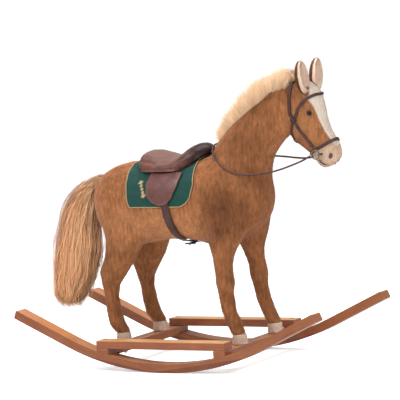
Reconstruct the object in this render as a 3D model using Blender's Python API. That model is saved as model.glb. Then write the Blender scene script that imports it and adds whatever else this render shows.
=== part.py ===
"""A plush ride-on horse on a bent-wood rocker base, built from its separate pieces.

Metres, +Z up, +X is the way the horse faces and +Y its left. The origin is on the floor, below the
middle of the rockers. The base is a ladder of two laminated rockers, two cross bars and two side
rails, bolted together. The horse stands on the cross bars by the threaded feet of a welded steel
frame that runs up inside its legs. Its stuffed body is divided where the plush cover is sewn.
"""

import math

import bmesh
import bpy
import numpy as np
from mathutils import Matrix, Vector
from mathutils.bvhtree import BVHTree

# The gap between neighbouring pieces.
GAP = 0.0003

# The rockers: an arc with straight, rising ends.
ROCKER_LENGTH = 1.15
ROCKER_SPACING = 0.43
ROCKER_WIDTH = 0.048
ROCKER_THICKNESS = 0.0285
ROCKER_SLOPE = math.radians(24.2)
ROCKER_ARC_HALF = 0.373
ROCKER_RADIUS = ROCKER_ARC_HALF / math.sin(ROCKER_SLOPE)
# An odd number, so that the middle step is a flat that rests on the floor.
ROCKER_ARC_STEPS = 23
ROCKER_FLAT_DROP = ROCKER_RADIUS * (1 - math.cos(ROCKER_SLOPE / ROCKER_ARC_STEPS))

# The cross bars and the side rails on them.
BAR_BOTTOM = 0.048
BAR_TOP = 0.0745
BAR_LENGTH_X = 0.044
BAR_X = {"front": 0.2115, "rear": -0.2335}
RAIL_TOP = 0.1005
RAIL_ENDS = (-0.2555, 0.2335)
SIDES = {"right": -1, "left": 1}

# The bolts at the four corners of the base.
BOLT_RADIUS = 0.003
BOLT_HEAD_RADIUS = 0.0065
BOLT_HEAD_HEIGHT = 0.004
SLEEVE_RADIUS = 0.0048
SLEEVE_HEIGHT = 0.018
SLEEVE_HEAD_RADIUS = 0.0075
SLEEVE_HEAD_HEIGHT = 0.0035
SLEEVE_BOTTOM_LIFT = 0.0045
BOLT_HEAD_DEPTH = 0.001
SOCKET_RADIUS = 0.0022
SOCKET_DEPTH = 0.0025

# The steel frame inside the horse.
FOOT_Y = 0.108
ROD_RADIUS = 0.004
SPINE_RADIUS = 0.006
NECK_ROD_RADIUS = 0.005
NUT_RADIUS = 0.0085
NUT_HEIGHT = 0.0065

# The hooves.
HOOF_BOTTOM = BAR_TOP + GAP
HOOF_TOP = 0.108
HOOF_BOTTOM_RADIUS = 0.0262
HOOF_TOP_RADIUS = 0.0222

# The glass eyes.
EYE_CENTRE = (0.497, 0.0455, 0.799)
EYE_RADIUS = 0.0072

# The tail lifts about the top of its root, and each saddle flap about its top edge.
TAIL_PIVOT = (-0.330, 0.0, 0.609)
FLAP_PIVOT = (-0.018, 0.1015, 0.6267)

# How far each ear leans outward.
EAR_SPLAY = math.radians(11)

# The planes where the cover's panels meet.
LEG_SEAM_Z = 0.402
HEAD_SEAM_X = 0.395

# How far above the skin each layer of the tack lies.
BLANKET_LAYER = (0.0016, 0.0058)
GIRTH_LAYER = (0.0062, 0.0090)
FLAP_LAYER = (0.0094, 0.0128)
PANEL_LAYER = (0.0062, 0.0115)
SEAT_LIFT = 0.0119
SEAT_SKIRT_Z = 0.628
FLAP_TOP_Z = 0.6265
BRIDLE_LIFT = 0.0014
BRIDLE_THICKNESS = 0.0024

# The bit.
BIT_RING_RADIUS = 0.0145
BIT_RING_WIRE = 0.0019
BIT_RING_CENTRE = (0.5090, 0.0500, 0.6680)
BIT_BAR_RADIUS = 0.0044

# The girth buckle, under the belly.
BUCKLE_X = (-0.0145, 0.0205)
BUCKLE_Y = -0.030
BUCKLE_Z = 0.3860
BUCKLE_WIRE = 0.0016
PRONG_RADIUS = 0.0011


# ---------------------------------------------------------------------------
# Scene, materials and small helpers
# ---------------------------------------------------------------------------

for old in list(bpy.data.objects):
    bpy.data.objects.remove(old)

PARTS = bpy.data.collections.new("rocking_horse")
CUTTERS = bpy.data.collections.new("cutters")
bpy.context.scene.collection.children.link(PARTS)
bpy.context.scene.collection.children.link(CUTTERS)


def make_material(name, colour, roughness, metallic=0.0):
    material = bpy.data.materials.new(name)
    material.use_nodes = True
    shader = material.node_tree.nodes["Principled BSDF"]
    shader.inputs["Base Color"].default_value = (*colour, 1.0)
    shader.inputs["Roughness"].default_value = roughness
    shader.inputs["Metallic"].default_value = metallic
    return material


WOOD = make_material("laminated_beech", (0.62, 0.33, 0.17), 0.45)
STEEL = make_material("zinc_plated_steel", (0.62, 0.62, 0.60), 0.35, 1.0)
COAT = make_material("caramel_plush", (0.40, 0.16, 0.07), 0.95)
HAIR = make_material("blond_hair", (0.78, 0.52, 0.26), 0.85)
HOOF = make_material("hoof_felt", (0.50, 0.34, 0.28), 0.8)
GLASS = make_material("black_glass", (0.01, 0.008, 0.006), 0.05)
LEATHER = make_material("brown_leather", (0.16, 0.07, 0.05), 0.45)
BLANKET = make_material("green_felt", (0.01, 0.09, 0.07), 0.9)
BRASS = make_material("buckle_steel", (0.55, 0.50, 0.42), 0.3, 1.0)


def finish(obj, name, material, pivot=None):
    """Moves a built object among the parts under its own name, with its origin on its pivot."""
    obj.name = name
    if pivot is not None:
        obj.data.transform(Matrix.Translation(-Vector(pivot)))
        obj.location = pivot
    obj.data.materials.clear()
    obj.data.materials.append(material)
    for collection in list(obj.users_collection):
        collection.objects.unlink(obj)
    PARTS.objects.link(obj)
    obj.hide_render = False
    obj.display_type = "TEXTURED"
    obj.data.shade_smooth()
    obj.data.set_sharp_from_angle(angle=math.radians(35))
    return obj


def helper(mesh_data, name="helper"):
    """Wraps a mesh as an object among the cutters."""
    obj = bpy.data.objects.new(name, mesh_data)
    CUTTERS.objects.link(obj)
    obj.hide_render = True
    obj.display_type = "WIRE"
    return obj


def from_bmesh(bm, name="helper"):
    bmesh.ops.recalc_face_normals(bm, faces=bm.faces)
    mesh_data = bpy.data.meshes.new(name)
    bm.to_mesh(mesh_data)
    bm.free()
    return helper(mesh_data, name)


def box(low, high, bevel=0.0):
    bm = bmesh.new()
    bmesh.ops.create_cube(bm, size=1.0)
    low, high = Vector(low), Vector(high)
    bmesh.ops.scale(bm, vec=high - low, verts=bm.verts)
    bmesh.ops.translate(bm, vec=(low + high) / 2, verts=bm.verts)
    if bevel:
        bmesh.ops.bevel(
            bm, geom=bm.edges[:], offset=bevel, segments=1, affect="EDGES", profile=0.5, material=-1
        )
    return from_bmesh(bm)


def cylinder(start, end, radius, sides=16, end_radius=None):
    start, end = Vector(start), Vector(end)
    bm = bmesh.new()
    bmesh.ops.create_cone(
        bm,
        cap_ends=True,
        segments=sides,
        radius1=radius,
        radius2=radius if end_radius is None else end_radius,
        depth=(end - start).length,
    )
    turn = (end - start).to_track_quat("Z", "Y").to_matrix().to_4x4()
    bmesh.ops.transform(bm, matrix=Matrix.Translation((start + end) / 2) @ turn, verts=bm.verts)
    return from_bmesh(bm)


def ball(centre, radius, squash=(1, 1, 1), segments=12, rings=8):
    bm = bmesh.new()
    bmesh.ops.create_uvsphere(bm, u_segments=segments, v_segments=rings, radius=radius)
    bmesh.ops.scale(bm, vec=squash, verts=bm.verts)
    bmesh.ops.translate(bm, vec=centre, verts=bm.verts)
    return from_bmesh(bm)


def ring(centre, radius, wire, axis="Y", sides=20, wire_sides=6):
    """A torus about the Y or X axis."""
    bm = bmesh.new()
    bmesh.ops.create_circle(bm, segments=wire_sides, radius=wire)
    bmesh.ops.translate(bm, vec=(radius, 0, 0), verts=bm.verts)
    bmesh.ops.rotate(bm, cent=(0, 0, 0), matrix=Matrix.Rotation(math.pi / 2, 3, "X"), verts=bm.verts)
    bmesh.ops.spin(
        bm, geom=bm.edges[:], axis=(0, 0, 1), cent=(0, 0, 0), angle=math.tau, steps=sides, use_merge=True
    )
    bmesh.ops.remove_doubles(bm, verts=bm.verts, dist=0.00005)
    turn = {"X": Matrix.Rotation(math.pi / 2, 3, "Y"), "Y": Matrix.Rotation(math.pi / 2, 3, "X")}[axis]
    bmesh.ops.rotate(bm, cent=(0, 0, 0), matrix=turn, verts=bm.verts)
    bmesh.ops.translate(bm, vec=centre, verts=bm.verts)
    return from_bmesh(bm)


def plate(outline, low_y, high_y):
    """A flat outline in the XZ plane, given a thickness along Y."""
    bm = bmesh.new()
    face = bm.faces.new([bm.verts.new((x, low_y, z)) for x, z in outline])
    sweep = bmesh.ops.extrude_face_region(bm, geom=[face])
    moved = [item for item in sweep["geom"] if isinstance(item, bmesh.types.BMVert)]
    bmesh.ops.translate(bm, vec=(0, high_y - low_y, 0), verts=moved)
    return from_bmesh(bm)


def tube(points, radius, resolution=2, closed=False):
    """A round rod along the points, as a closed mesh."""
    curve = bpy.data.curves.new("tube", "CURVE")
    curve.dimensions = "3D"
    curve.bevel_depth = radius
    curve.bevel_resolution = resolution
    curve.use_fill_caps = True
    spline = curve.splines.new("POLY")
    spline.use_cyclic_u = closed
    spline.points.add(len(points) - 1)
    for point, place in zip(spline.points, points):
        point.co = (*place, 1.0)
    obj = bpy.data.objects.new("tube", curve)
    CUTTERS.objects.link(obj)
    bpy.context.view_layer.update()
    graph = bpy.context.evaluated_depsgraph_get()
    mesh_data = bpy.data.meshes.new_from_object(obj.evaluated_get(graph))
    bpy.data.objects.remove(obj)
    bm = bmesh.new()
    bm.from_mesh(mesh_data)
    bmesh.ops.remove_doubles(bm, verts=bm.verts, dist=0.00005)
    return from_bmesh(bm)


def ribbon(points, width, thickness):
    """A flat strap along the points, its width along X and its thickness upward."""
    bm = bmesh.new()
    rings = []
    for x, y, z in points:
        corners = ((-1, 0), (1, 0), (1, thickness), (-1, thickness))
        rings.append([bm.verts.new((x + s * width / 2, y, z + h)) for s, h in corners])
    for first, second in zip(rings, rings[1:]):
        for k in range(4):
            bm.faces.new((first[k], first[k - 1], second[k - 1], second[k]))
    bm.faces.new(rings[0])
    bm.faces.new(reversed(rings[-1]))
    return from_bmesh(bm)


def combine(obj, other, operation, solver="EXACT"):
    """Joins, cuts or intersects obj with other, and keeps the result as obj's own mesh."""
    modifier = obj.modifiers.new("combine", "BOOLEAN")
    modifier.object = other
    modifier.operation = operation
    modifier.solver = solver
    bpy.context.view_layer.update()
    graph = bpy.context.evaluated_depsgraph_get()
    mesh_data = bpy.data.meshes.new_from_object(obj.evaluated_get(graph))
    obj.modifiers.remove(modifier)
    obj.data = mesh_data
    return obj


def cut(obj, *cutters):
    for cutter in cutters:
        combine(obj, cutter, "DIFFERENCE")
    return obj


def copy_of(obj, grow=0.0):
    """A copy, pushed outward by grow along its vertex normals."""
    twin = helper(obj.data.copy())
    if grow:
        bm = bmesh.new()
        bm.from_mesh(twin.data)
        bm.normal_update()
        shifts = [vert.normal * grow for vert in bm.verts]
        for vert, shift in zip(bm.verts, shifts):
            vert.co += shift
        bm.to_mesh(twin.data)
        bm.free()
    return twin


# ---------------------------------------------------------------------------
# Soft forms: a loft through oval sections
# ---------------------------------------------------------------------------


def smooth_rows(rows, steps):
    """Rows between the given ones, on a Catmull-Rom curve through them."""
    rows = np.array(rows, float)
    ends = np.vstack([2 * rows[0] - rows[1], rows, 2 * rows[-1] - rows[-2]])
    out = []
    for i in range(1, len(ends) - 2):
        before, here, there, after = ends[i - 1 : i + 3]
        for k in range(steps):
            t = k / steps
            out.append(
                0.5
                * (
                    2 * here
                    + (there - before) * t
                    + (2 * before - 5 * here + 4 * there - after) * t**2
                    + (3 * here - before - 3 * there + after) * t**3
                )
            )
    out.append(rows[-1])
    return np.array(out)


def loft(stations, steps=2, sides=16, grow=0.0, square=2.0, side_y=1.0):
    """A closed form through oval sections.

    A station is (x, z) of one end of the section, (x, z) of the other end, its half width along Y
    and the Y of its middle. Sections don't match each other, so the faces between them are built
    ring by ring.
    """
    rows = smooth_rows(stations, steps)
    bm = bmesh.new()
    rings = []
    for ax, az, bx, bz, half_width, middle_y in rows:
        middle = Vector(((ax + bx) / 2, middle_y * side_y, (az + bz) / 2))
        reach = Vector(((ax - bx) / 2, 0.0, (az - bz) / 2))
        reach *= 1 + grow / reach.length
        half = half_width + grow
        loop = []
        for k in range(sides):
            turn = math.tau * k / sides
            across, along = math.sin(turn), math.cos(turn)
            across = math.copysign(abs(across) ** (2 / square), across)
            along = math.copysign(abs(along) ** (2 / square), along)
            loop.append(bm.verts.new(middle + reach * along + Vector((0, half * across, 0))))
        rings.append(loop)
    for first, second in zip(rings, rings[1:]):
        for k in range(sides):
            bm.faces.new((first[k], first[k - 1], second[k - 1], second[k]))
    bm.faces.new(rings[0])
    bm.faces.new(reversed(rings[-1]))
    return from_bmesh(bm)


TORSO = [
    (-0.352, 0.545, -0.346, 0.500, 0.030, 0),
    (-0.336, 0.594, -0.320, 0.436, 0.072, 0),
    (-0.300, 0.624, -0.286, 0.396, 0.102, 0),
    (-0.245, 0.645, -0.236, 0.380, 0.119, 0),
    (-0.170, 0.653, -0.165, 0.389, 0.1265, 0),
    (-0.085, 0.651, -0.080, 0.400, 0.129, 0),
    (0.000, 0.649, 0.000, 0.399, 0.128, 0),
    (0.080, 0.664, 0.078, 0.390, 0.122, 0),
    (0.150, 0.676, 0.152, 0.389, 0.115, 0),
    (0.220, 0.655, 0.225, 0.415, 0.101, 0),
    (0.265, 0.620, 0.270, 0.455, 0.078, 0),
    (0.292, 0.575, 0.292, 0.510, 0.042, 0),
]

NECK = [
    (0.110, 0.665, 0.285, 0.500, 0.088, 0),
    (0.118, 0.697, 0.302, 0.565, 0.080, 0),
    (0.155, 0.737, 0.306, 0.618, 0.069, 0),
    (0.211, 0.785, 0.326, 0.665, 0.060, 0),
    (0.290, 0.836, 0.367, 0.712, 0.054, 0),
    (0.362, 0.880, 0.398, 0.735, 0.049, 0),
    (0.420, 0.890, 0.425, 0.760, 0.040, 0),
]

HEAD = [
    (0.480, 0.893, 0.410, 0.893, 0.028, 0),
    (0.510, 0.868, 0.390, 0.850, 0.043, 0),
    (0.524, 0.830, 0.385, 0.790, 0.049, 0),
    (0.530, 0.785, 0.400, 0.730, 0.049, 0),
    (0.541, 0.745, 0.436, 0.692, 0.043, 0),
    (0.558, 0.715, 0.466, 0.668, 0.038, 0),
    (0.571, 0.690, 0.485, 0.645, 0.0375, 0),
    (0.572, 0.660, 0.499, 0.629, 0.035, 0),
    (0.556, 0.637, 0.514, 0.623, 0.023, 0),
]

FRONT_LEG = [
    (0.268, 0.530, 0.110, 0.530, 0.040, 0.045),
    (0.254, 0.465, 0.095, 0.465, 0.048, 0.064),
    (0.232, 0.415, 0.104, 0.415, 0.046, 0.078),
    (0.206, 0.370, 0.124, 0.370, 0.038, 0.088),
    (0.194, 0.330, 0.137, 0.330, 0.031, 0.096),
    (0.196, 0.300, 0.142, 0.300, 0.028, 0.101),
    (0.200, 0.272, 0.142, 0.272, 0.029, 0.102),
    (0.195, 0.235, 0.149, 0.235, 0.0225, 0.104),
    (0.202, 0.184, 0.158, 0.184, 0.0212, 0.107),
    (0.2185, 0.140, 0.1745, 0.142, 0.0225, 0.108),
    (0.2320, 0.1085, 0.1890, 0.1085, 0.0222, 0.108),
]

HIND_LEG = [
    (-0.165, 0.545, -0.315, 0.555, 0.040, 0.055),
    (-0.140, 0.470, -0.308, 0.480, 0.050, 0.070),
    (-0.144, 0.405, -0.284, 0.415, 0.050, 0.080),
    (-0.178, 0.346, -0.288, 0.352, 0.043, 0.089),
    (-0.212, 0.300, -0.309, 0.305, 0.033, 0.097),
    (-0.240, 0.263, -0.300, 0.268, 0.0265, 0.102),
    (-0.248, 0.225, -0.290, 0.225, 0.0208, 0.105),
    (-0.243, 0.180, -0.287, 0.180, 0.0210, 0.107),
    (-0.230, 0.138, -0.279, 0.136, 0.0240, 0.108),
    (-0.2120, 0.1085, -0.2560, 0.1085, 0.0225, 0.108),
]

MANE = [
    (0.4150, 0.908, 0.408, 0.872, 0.010, 0),
    (0.393, 0.915, 0.386, 0.860, 0.018, 0),
    (0.352, 0.910, 0.352, 0.846, 0.022, 0),
    (0.274, 0.876, 0.290, 0.806, 0.025, 0),
    (0.206, 0.822, 0.230, 0.770, 0.025, 0),
    (0.156, 0.765, 0.185, 0.735, 0.021, 0),
    (0.134, 0.722, 0.158, 0.706, 0.010, 0),
]

TAIL = [
    (-0.326, 0.607, -0.332, 0.580, 0.015, 0),
    (-0.350, 0.606, -0.350, 0.566, 0.020, 0),
    (-0.388, 0.591, -0.368, 0.540, 0.027, 0),
    (-0.440, 0.560, -0.382, 0.480, 0.038, 0),
    (-0.486, 0.501, -0.388, 0.425, 0.046, 0),
    (-0.516, 0.420, -0.396, 0.360, 0.052, 0),
    (-0.535, 0.350, -0.415, 0.300, 0.052, 0),
    (-0.550, 0.280, -0.440, 0.245, 0.046, 0),
    (-0.552, 0.225, -0.475, 0.210, 0.032, 0),
    (-0.545, 0.196, -0.520, 0.192, 0.012, 0),
]

SEAT = [
    (-0.153, 0.672, -0.153, 0.644, 0.036, 0),
    (-0.141, 0.687, -0.141, 0.605, 0.078, 0),
    (-0.112, 0.690, -0.112, 0.575, 0.101, 0),
    (-0.072, 0.678, -0.072, 0.580, 0.109, 0),
    (-0.032, 0.667, -0.032, 0.585, 0.109, 0),
    (0.000, 0.677, 0.000, 0.585, 0.104, 0),
    (0.028, 0.698, 0.028, 0.590, 0.094, 0),
    (0.056, 0.709, 0.056, 0.600, 0.078, 0),
    (0.082, 0.707, 0.082, 0.625, 0.056, 0),
    (0.100, 0.694, 0.100, 0.650, 0.028, 0),
]


# ---------------------------------------------------------------------------
# The base: rockers, cross bars, side rails and their bolts
# ---------------------------------------------------------------------------


def rocker_point(x, lift):
    """A point of the rocker's side outline: its bottom curve at x, and lift above it, square to it."""
    if abs(x) <= ROCKER_ARC_HALF:
        turn = math.asin(x / ROCKER_RADIUS)
        z = ROCKER_RADIUS * (1 - math.cos(turn))
    else:
        turn = math.copysign(ROCKER_SLOPE, x)
        z = ROCKER_RADIUS * (1 - math.cos(turn))
        z += (abs(x) - ROCKER_ARC_HALF) * math.tan(ROCKER_SLOPE)
    return (x - lift * math.sin(turn), z + lift * math.cos(turn) - ROCKER_FLAT_DROP)


def rocker_outline(bottom, top):
    """The closed side outline between two lifts, with corners eased at both ends."""
    half = ROCKER_LENGTH / 2
    ease = 0.003
    step = 2 * ROCKER_ARC_HALF / ROCKER_ARC_STEPS
    arc = [k * step - ROCKER_ARC_HALF for k in range(ROCKER_ARC_STEPS + 1)]
    low = [rocker_point(-half + ease, bottom)]
    low += [rocker_point(x, bottom) for x in arc]
    low += [rocker_point(half - ease, bottom), rocker_point(half, bottom + ease)]
    high = [rocker_point(half, top - ease), rocker_point(half - ease, top)]
    high += [rocker_point(x, top) for x in reversed(arc)]
    high += [rocker_point(-half + ease, top), rocker_point(-half, top - ease)]
    return low + high + [rocker_point(-half, bottom + ease)]


def bolt_place(side, x):
    return Vector((x, SIDES[side] * ROCKER_SPACING / 2, 0))


def upright(at, low_z, high_z, radius, sides=12):
    """A cylinder that stands over a place between two heights."""
    return cylinder(at + Vector((0, 0, low_z)), at + Vector((0, 0, high_z)), radius, sides)


def bolt_holes():
    """Clearance for every corner bolt and its sleeve nut, through rail, bar and rocker."""
    holes = []
    for side in SIDES:
        for x in BAR_X.values():
            at = bolt_place(side, x)
            sleeve_low = rocker_point(x, 0)[1] + SLEEVE_BOTTOM_LIFT
            head_low = RAIL_TOP - BOLT_HEAD_HEIGHT - BOLT_HEAD_DEPTH
            holes.append(upright(at, -0.02, 0.2, BOLT_RADIUS + GAP))
            holes.append(upright(at, -0.02, sleeve_low + SLEEVE_HEAD_HEIGHT + GAP, SLEEVE_HEAD_RADIUS + GAP))
            holes.append(upright(at, -0.02, sleeve_low + SLEEVE_HEIGHT + GAP, SLEEVE_RADIUS + GAP))
            holes.append(upright(at, head_low - GAP, 0.2, BOLT_HEAD_RADIUS + GAP))
    return holes


def build_base():
    half = ROCKER_WIDTH / 2
    holes = bolt_holes()
    for side, sign in SIDES.items():
        middle = sign * ROCKER_SPACING / 2
        rocker = plate(rocker_outline(0, ROCKER_THICKNESS), middle - half, middle + half)
        finish(cut(rocker, *holes), f"rocker_{side}", WOOD)
        rail = box(
            (RAIL_ENDS[0], middle - half, BAR_TOP + GAP), (RAIL_ENDS[1], middle + half, RAIL_TOP), 0.0015
        )
        finish(cut(rail, *holes), f"side_rail_{side}", WOOD)
    reach = ROCKER_SPACING / 2 + half
    clear = plate(rocker_outline(-0.05, ROCKER_THICKNESS + GAP), -0.4, 0.4)
    clear_sides = []
    for sign in SIDES.values():
        middle = sign * ROCKER_SPACING / 2
        clear_sides.append(box((-0.7, middle - half - GAP, -0.1), (0.7, middle + half + 0.02, 0.3)))
    housings = [combine(copy_of(clear), limit, "INTERSECT") for limit in clear_sides]
    feet = [
        cylinder((x, s * FOOT_Y, 0.0), (x, s * FOOT_Y, 0.2), ROD_RADIUS + GAP, 10)
        for x in BAR_X.values()
        for s in SIDES.values()
    ]
    for end, x in BAR_X.items():
        bar = box((x - BAR_LENGTH_X / 2, -reach, BAR_BOTTOM), (x + BAR_LENGTH_X / 2, reach, BAR_TOP), 0.0012)
        finish(cut(bar, *housings, *holes, *feet), f"cross_bar_{end}", WOOD)


def build_bolts():
    for side in SIDES:
        for end, x in BAR_X.items():
            at = bolt_place(side, x)
            floor = rocker_point(x, 0)[1]
            sleeve_low = floor + SLEEVE_BOTTOM_LIFT
            sleeve_high = sleeve_low + SLEEVE_HEIGHT
            head_low = RAIL_TOP - BOLT_HEAD_HEIGHT - BOLT_HEAD_DEPTH
            head_high = RAIL_TOP - BOLT_HEAD_DEPTH
            bolt = upright(at, sleeve_low + 0.006, head_low + 0.001, BOLT_RADIUS)
            head = upright(at, head_low, head_high, BOLT_HEAD_RADIUS)
            socket = upright(at, head_high - SOCKET_DEPTH, RAIL_TOP + 0.01, SOCKET_RADIUS, 6)
            combine(bolt, head, "UNION")
            finish(cut(bolt, socket), f"frame_bolt_{end}_{side}", STEEL)
            sleeve = upright(at, sleeve_low, sleeve_high, SLEEVE_RADIUS)
            flange = upright(at, sleeve_low, sleeve_low + SLEEVE_HEAD_HEIGHT, SLEEVE_HEAD_RADIUS)
            combine(sleeve, flange, "UNION")
            bore = upright(at, sleeve_low - 0.01, 0.2, BOLT_RADIUS + GAP)
            finish(cut(sleeve, bore), f"sleeve_nut_{end}_{side}", STEEL)


# ---------------------------------------------------------------------------
# The horse's steel frame and the nuts under the cross bars
# ---------------------------------------------------------------------------


def hoop_points(leg):
    """The frame's rod from one foot up through the leg, across the body and down the other leg."""
    if leg == "front":
        x = BAR_X["front"]
        down = [
            (x, FOOT_Y, 0.036),
            (x, FOOT_Y, 0.112),
            (0.197, 0.108, 0.140),
            (0.181, 0.107, 0.184),
            (0.172, 0.104, 0.235),
            (0.170, 0.101, 0.290),
            (0.166, 0.090, 0.365),
            (0.165, 0.068, 0.455),
            (0.165, 0.040, 0.505),
        ]
        top = (0.165, 0.0, 0.515)
    else:
        x = BAR_X["rear"]
        down = [
            (x, FOOT_Y, 0.036),
            (x, FOOT_Y, 0.112),
            (-0.255, 0.108, 0.140),
            (-0.265, 0.107, 0.181),
            (-0.269, 0.105, 0.225),
            (-0.269, 0.101, 0.268),
            (-0.245, 0.092, 0.335),
            (-0.215, 0.078, 0.420),
            (-0.202, 0.050, 0.495),
        ]
        top = (-0.200, 0.0, 0.515)
    other = [(px, -py, pz) for px, py, pz in reversed(down)]
    return down + [top] + other


def frame_solid(grow):
    """The welded frame, or with grow the channel that it runs in."""
    frame = tube(hoop_points("front"), ROD_RADIUS + grow, 1)
    combine(frame, tube(hoop_points("rear"), ROD_RADIUS + grow, 1), "UNION")
    spine = [(-0.240, 0, 0.515), (0.190, 0, 0.515)]
    combine(frame, tube(spine, SPINE_RADIUS + grow, 1), "UNION")
    neck = [(0.186, 0.0, 0.513), (0.215, 0, 0.600), (0.262, 0, 0.700), (0.330, 0, 0.775), (0.440, 0, 0.822)]
    combine(frame, tube(neck, NECK_ROD_RADIUS + grow, 1), "UNION")
    return frame


def build_foot_nuts():
    for end, x in BAR_X.items():
        for side, sign in SIDES.items():
            at = Vector((x, sign * FOOT_Y, 0))
            top = BAR_BOTTOM - GAP
            nut = cylinder(at + Vector((0, 0, top - NUT_HEIGHT)), at + Vector((0, 0, top)), NUT_RADIUS, 6)
            bore = cylinder(at, at + Vector((0, 0, 0.1)), ROD_RADIUS + GAP, 10)
            finish(cut(nut, bore), f"foot_nut_{end}_{side}", STEEL)


# ---------------------------------------------------------------------------
# The horse: cover panels, hooves, ears, eyes, mane and tail
# ---------------------------------------------------------------------------


def whole_body():
    """Trunk, neck, head and legs as one form, from which the panels are taken."""
    body = loft(TORSO, 2, 18, square=2.15)
    combine(body, loft(NECK, 2, 16), "UNION")
    combine(body, loft(HEAD, 2, 16, square=2.1), "UNION")
    for sign in SIDES.values():
        combine(body, loft(FRONT_LEG, 1, 12, side_y=sign), "UNION")
        combine(body, loft(HIND_LEG, 1, 12, side_y=sign), "UNION")
    return body


def neck_side(start, end):
    """A deep block ahead of the slanting seam between trunk and neck."""
    along = Vector((0.63, 0, 0.777))
    across = Vector((0.777, 0, -0.63))
    seam = Vector((0.205, 0, 0.612))
    corners = [
        seam - across * 0.4 + along * start,
        seam + across * 0.4 + along * start,
        seam + across * 0.4 + along * end,
        seam - across * 0.4 + along * end,
    ]
    return plate([(corner.x, corner.z) for corner in corners], -0.3, 0.3)


def eye_centre(sign):
    return (EYE_CENTRE[0], sign * EYE_CENTRE[1], EYE_CENTRE[2])


def leg_box(x_low, x_high, sign, grow):
    y_low, y_high = sorted((sign * (0.012 - grow), sign * 0.2))
    return box((x_low - grow, y_low, 0.0), (x_high + grow, y_high, LEG_SEAM_Z + grow))


def build_horse():
    body = whole_body()
    channel = frame_solid(GAP)
    finish(frame_solid(0.0), "inner_frame", STEEL)
    leg_spans = {"front": (0.085, 0.262), "rear": (-0.345, -0.125)}

    for end, (x_low, x_high) in leg_spans.items():
        for side, sign in SIDES.items():
            leg = combine(copy_of(body), leg_box(x_low, x_high, sign, 0.0), "INTERSECT", "MANIFOLD")
            finish(cut(leg, channel), f"leg_{end}_{side}", COAT)

    neck = combine(copy_of(body), neck_side(0.0, 0.6), "INTERSECT")
    head_far = box((HEAD_SEAM_X, -0.3, 0.3), (1.0, 0.3, 1.2))
    head = combine(copy_of(neck), head_far, "INTERSECT")
    neck = combine(neck, box((0.0, -0.3, 0.3), (HEAD_SEAM_X - GAP, 0.3, 1.2)), "INTERSECT")
    eyes = [ball(eye_centre(sign), EYE_RADIUS + GAP) for sign in SIDES.values()]
    bar = cylinder(bit_bar_point(-0.06), bit_bar_point(0.06), BIT_BAR_RADIUS + GAP, 12)
    finish(cut(neck, channel), "neck", COAT)
    finish(cut(head, channel, bar, *eyes), "head", COAT)

    trunk = cut(copy_of(body), neck_side(-GAP, 0.6))
    for x_low, x_high in leg_spans.values():
        for sign in SIDES.values():
            cut(trunk, leg_box(x_low, x_high, sign, GAP))
    finish(cut(trunk, channel), "trunk", COAT)
    return body


def build_hooves():
    for end, x in BAR_X.items():
        for side, sign in SIDES.items():
            low = Vector((x, sign * FOOT_Y, HOOF_BOTTOM))
            high = Vector((x, sign * FOOT_Y, HOOF_TOP))
            hoof = cylinder(low, high, HOOF_BOTTOM_RADIUS, 18, HOOF_TOP_RADIUS)
            bore = cylinder((x, sign * FOOT_Y, 0.0), (x, sign * FOOT_Y, 0.2), ROD_RADIUS + GAP + 0.0004, 10)
            finish(cut(hoof, bore), f"hoof_{end}_{side}", HOOF)


def build_eyes():
    for side, sign in SIDES.items():
        finish(ball(eye_centre(sign), EYE_RADIUS), f"eye_{side}", GLASS)


def build_ears(body_clear):
    """Each ear is a cupped leaf, open to the front, splayed outward at its tip."""
    for side, sign in SIDES.items():
        middle = Vector((0.480, sign * 0.0435, 0.910))
        ear = ball(middle, 1.0, (0.021, 0.0275, 0.054), 16, 12)
        scoop = ball(middle + Vector((0.013, 0, 0.004)), 1.0, (0.0205, 0.0225, 0.048), 16, 12)
        for piece in (ear, scoop):
            bm = bmesh.new()
            bm.from_mesh(piece.data)
            splay = Matrix.Rotation(sign * -EAR_SPLAY, 3, "X")
            bmesh.ops.rotate(bm, cent=middle, matrix=splay, verts=bm.verts)
            bm.to_mesh(piece.data)
            bm.free()
        finish(cut(ear, scoop, body_clear), f"ear_{side}", COAT)


def build_hair(body_clear):
    finish(cut(loft(MANE, 2, 10), body_clear), "mane", HAIR)
    finish(cut(loft(TAIL, 2, 12), body_clear), "tail", HAIR, TAIL_PIVOT)


# ---------------------------------------------------------------------------
# The saddle, its blanket and the girth
# ---------------------------------------------------------------------------


def layer(low, high, outline, y_low=-0.3, y_high=0.3):
    """The stretch inside a side outline of a shell around the trunk, between two heights above it."""
    outer = loft(TORSO, 2, 24, grow=high, square=2.15)
    combine(outer, plate(outline, y_low, y_high), "INTERSECT")
    return cut(outer, loft(TORSO, 2, 24, grow=low, square=2.15))


def build_blanket():
    outline = [
        (-0.180, 0.80),
        (-0.176, 0.64),
        (-0.158, 0.527),
        (-0.100, 0.519),
        (0.020, 0.517),
        (0.056, 0.526),
        (0.077, 0.552),
        (0.086, 0.590),
        (0.078, 0.640),
        (0.060, 0.80),
    ]
    finish(layer(*BLANKET_LAYER, outline), "saddle_blanket", BLANKET)


def build_saddle():
    seat = cut(loft(SEAT, 2, 20), loft(TORSO, 2, 24, grow=SEAT_LIFT, square=2.15))
    combine(seat, box((-0.3, -0.3, SEAT_SKIRT_Z), (0.3, 0.3, 0.9)), "INTERSECT")
    finish(seat, "saddle_seat", LEATHER)
    outline = [
        (-0.130, 0.80),
        (-0.130, 0.640),
        (-0.100, SEAT_SKIRT_Z),
        (0.020, SEAT_SKIRT_Z),
        (0.060, 0.650),
        (0.070, 0.80),
    ]
    finish(layer(*PANEL_LAYER, outline), "saddle_panel", LEATHER)


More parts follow.
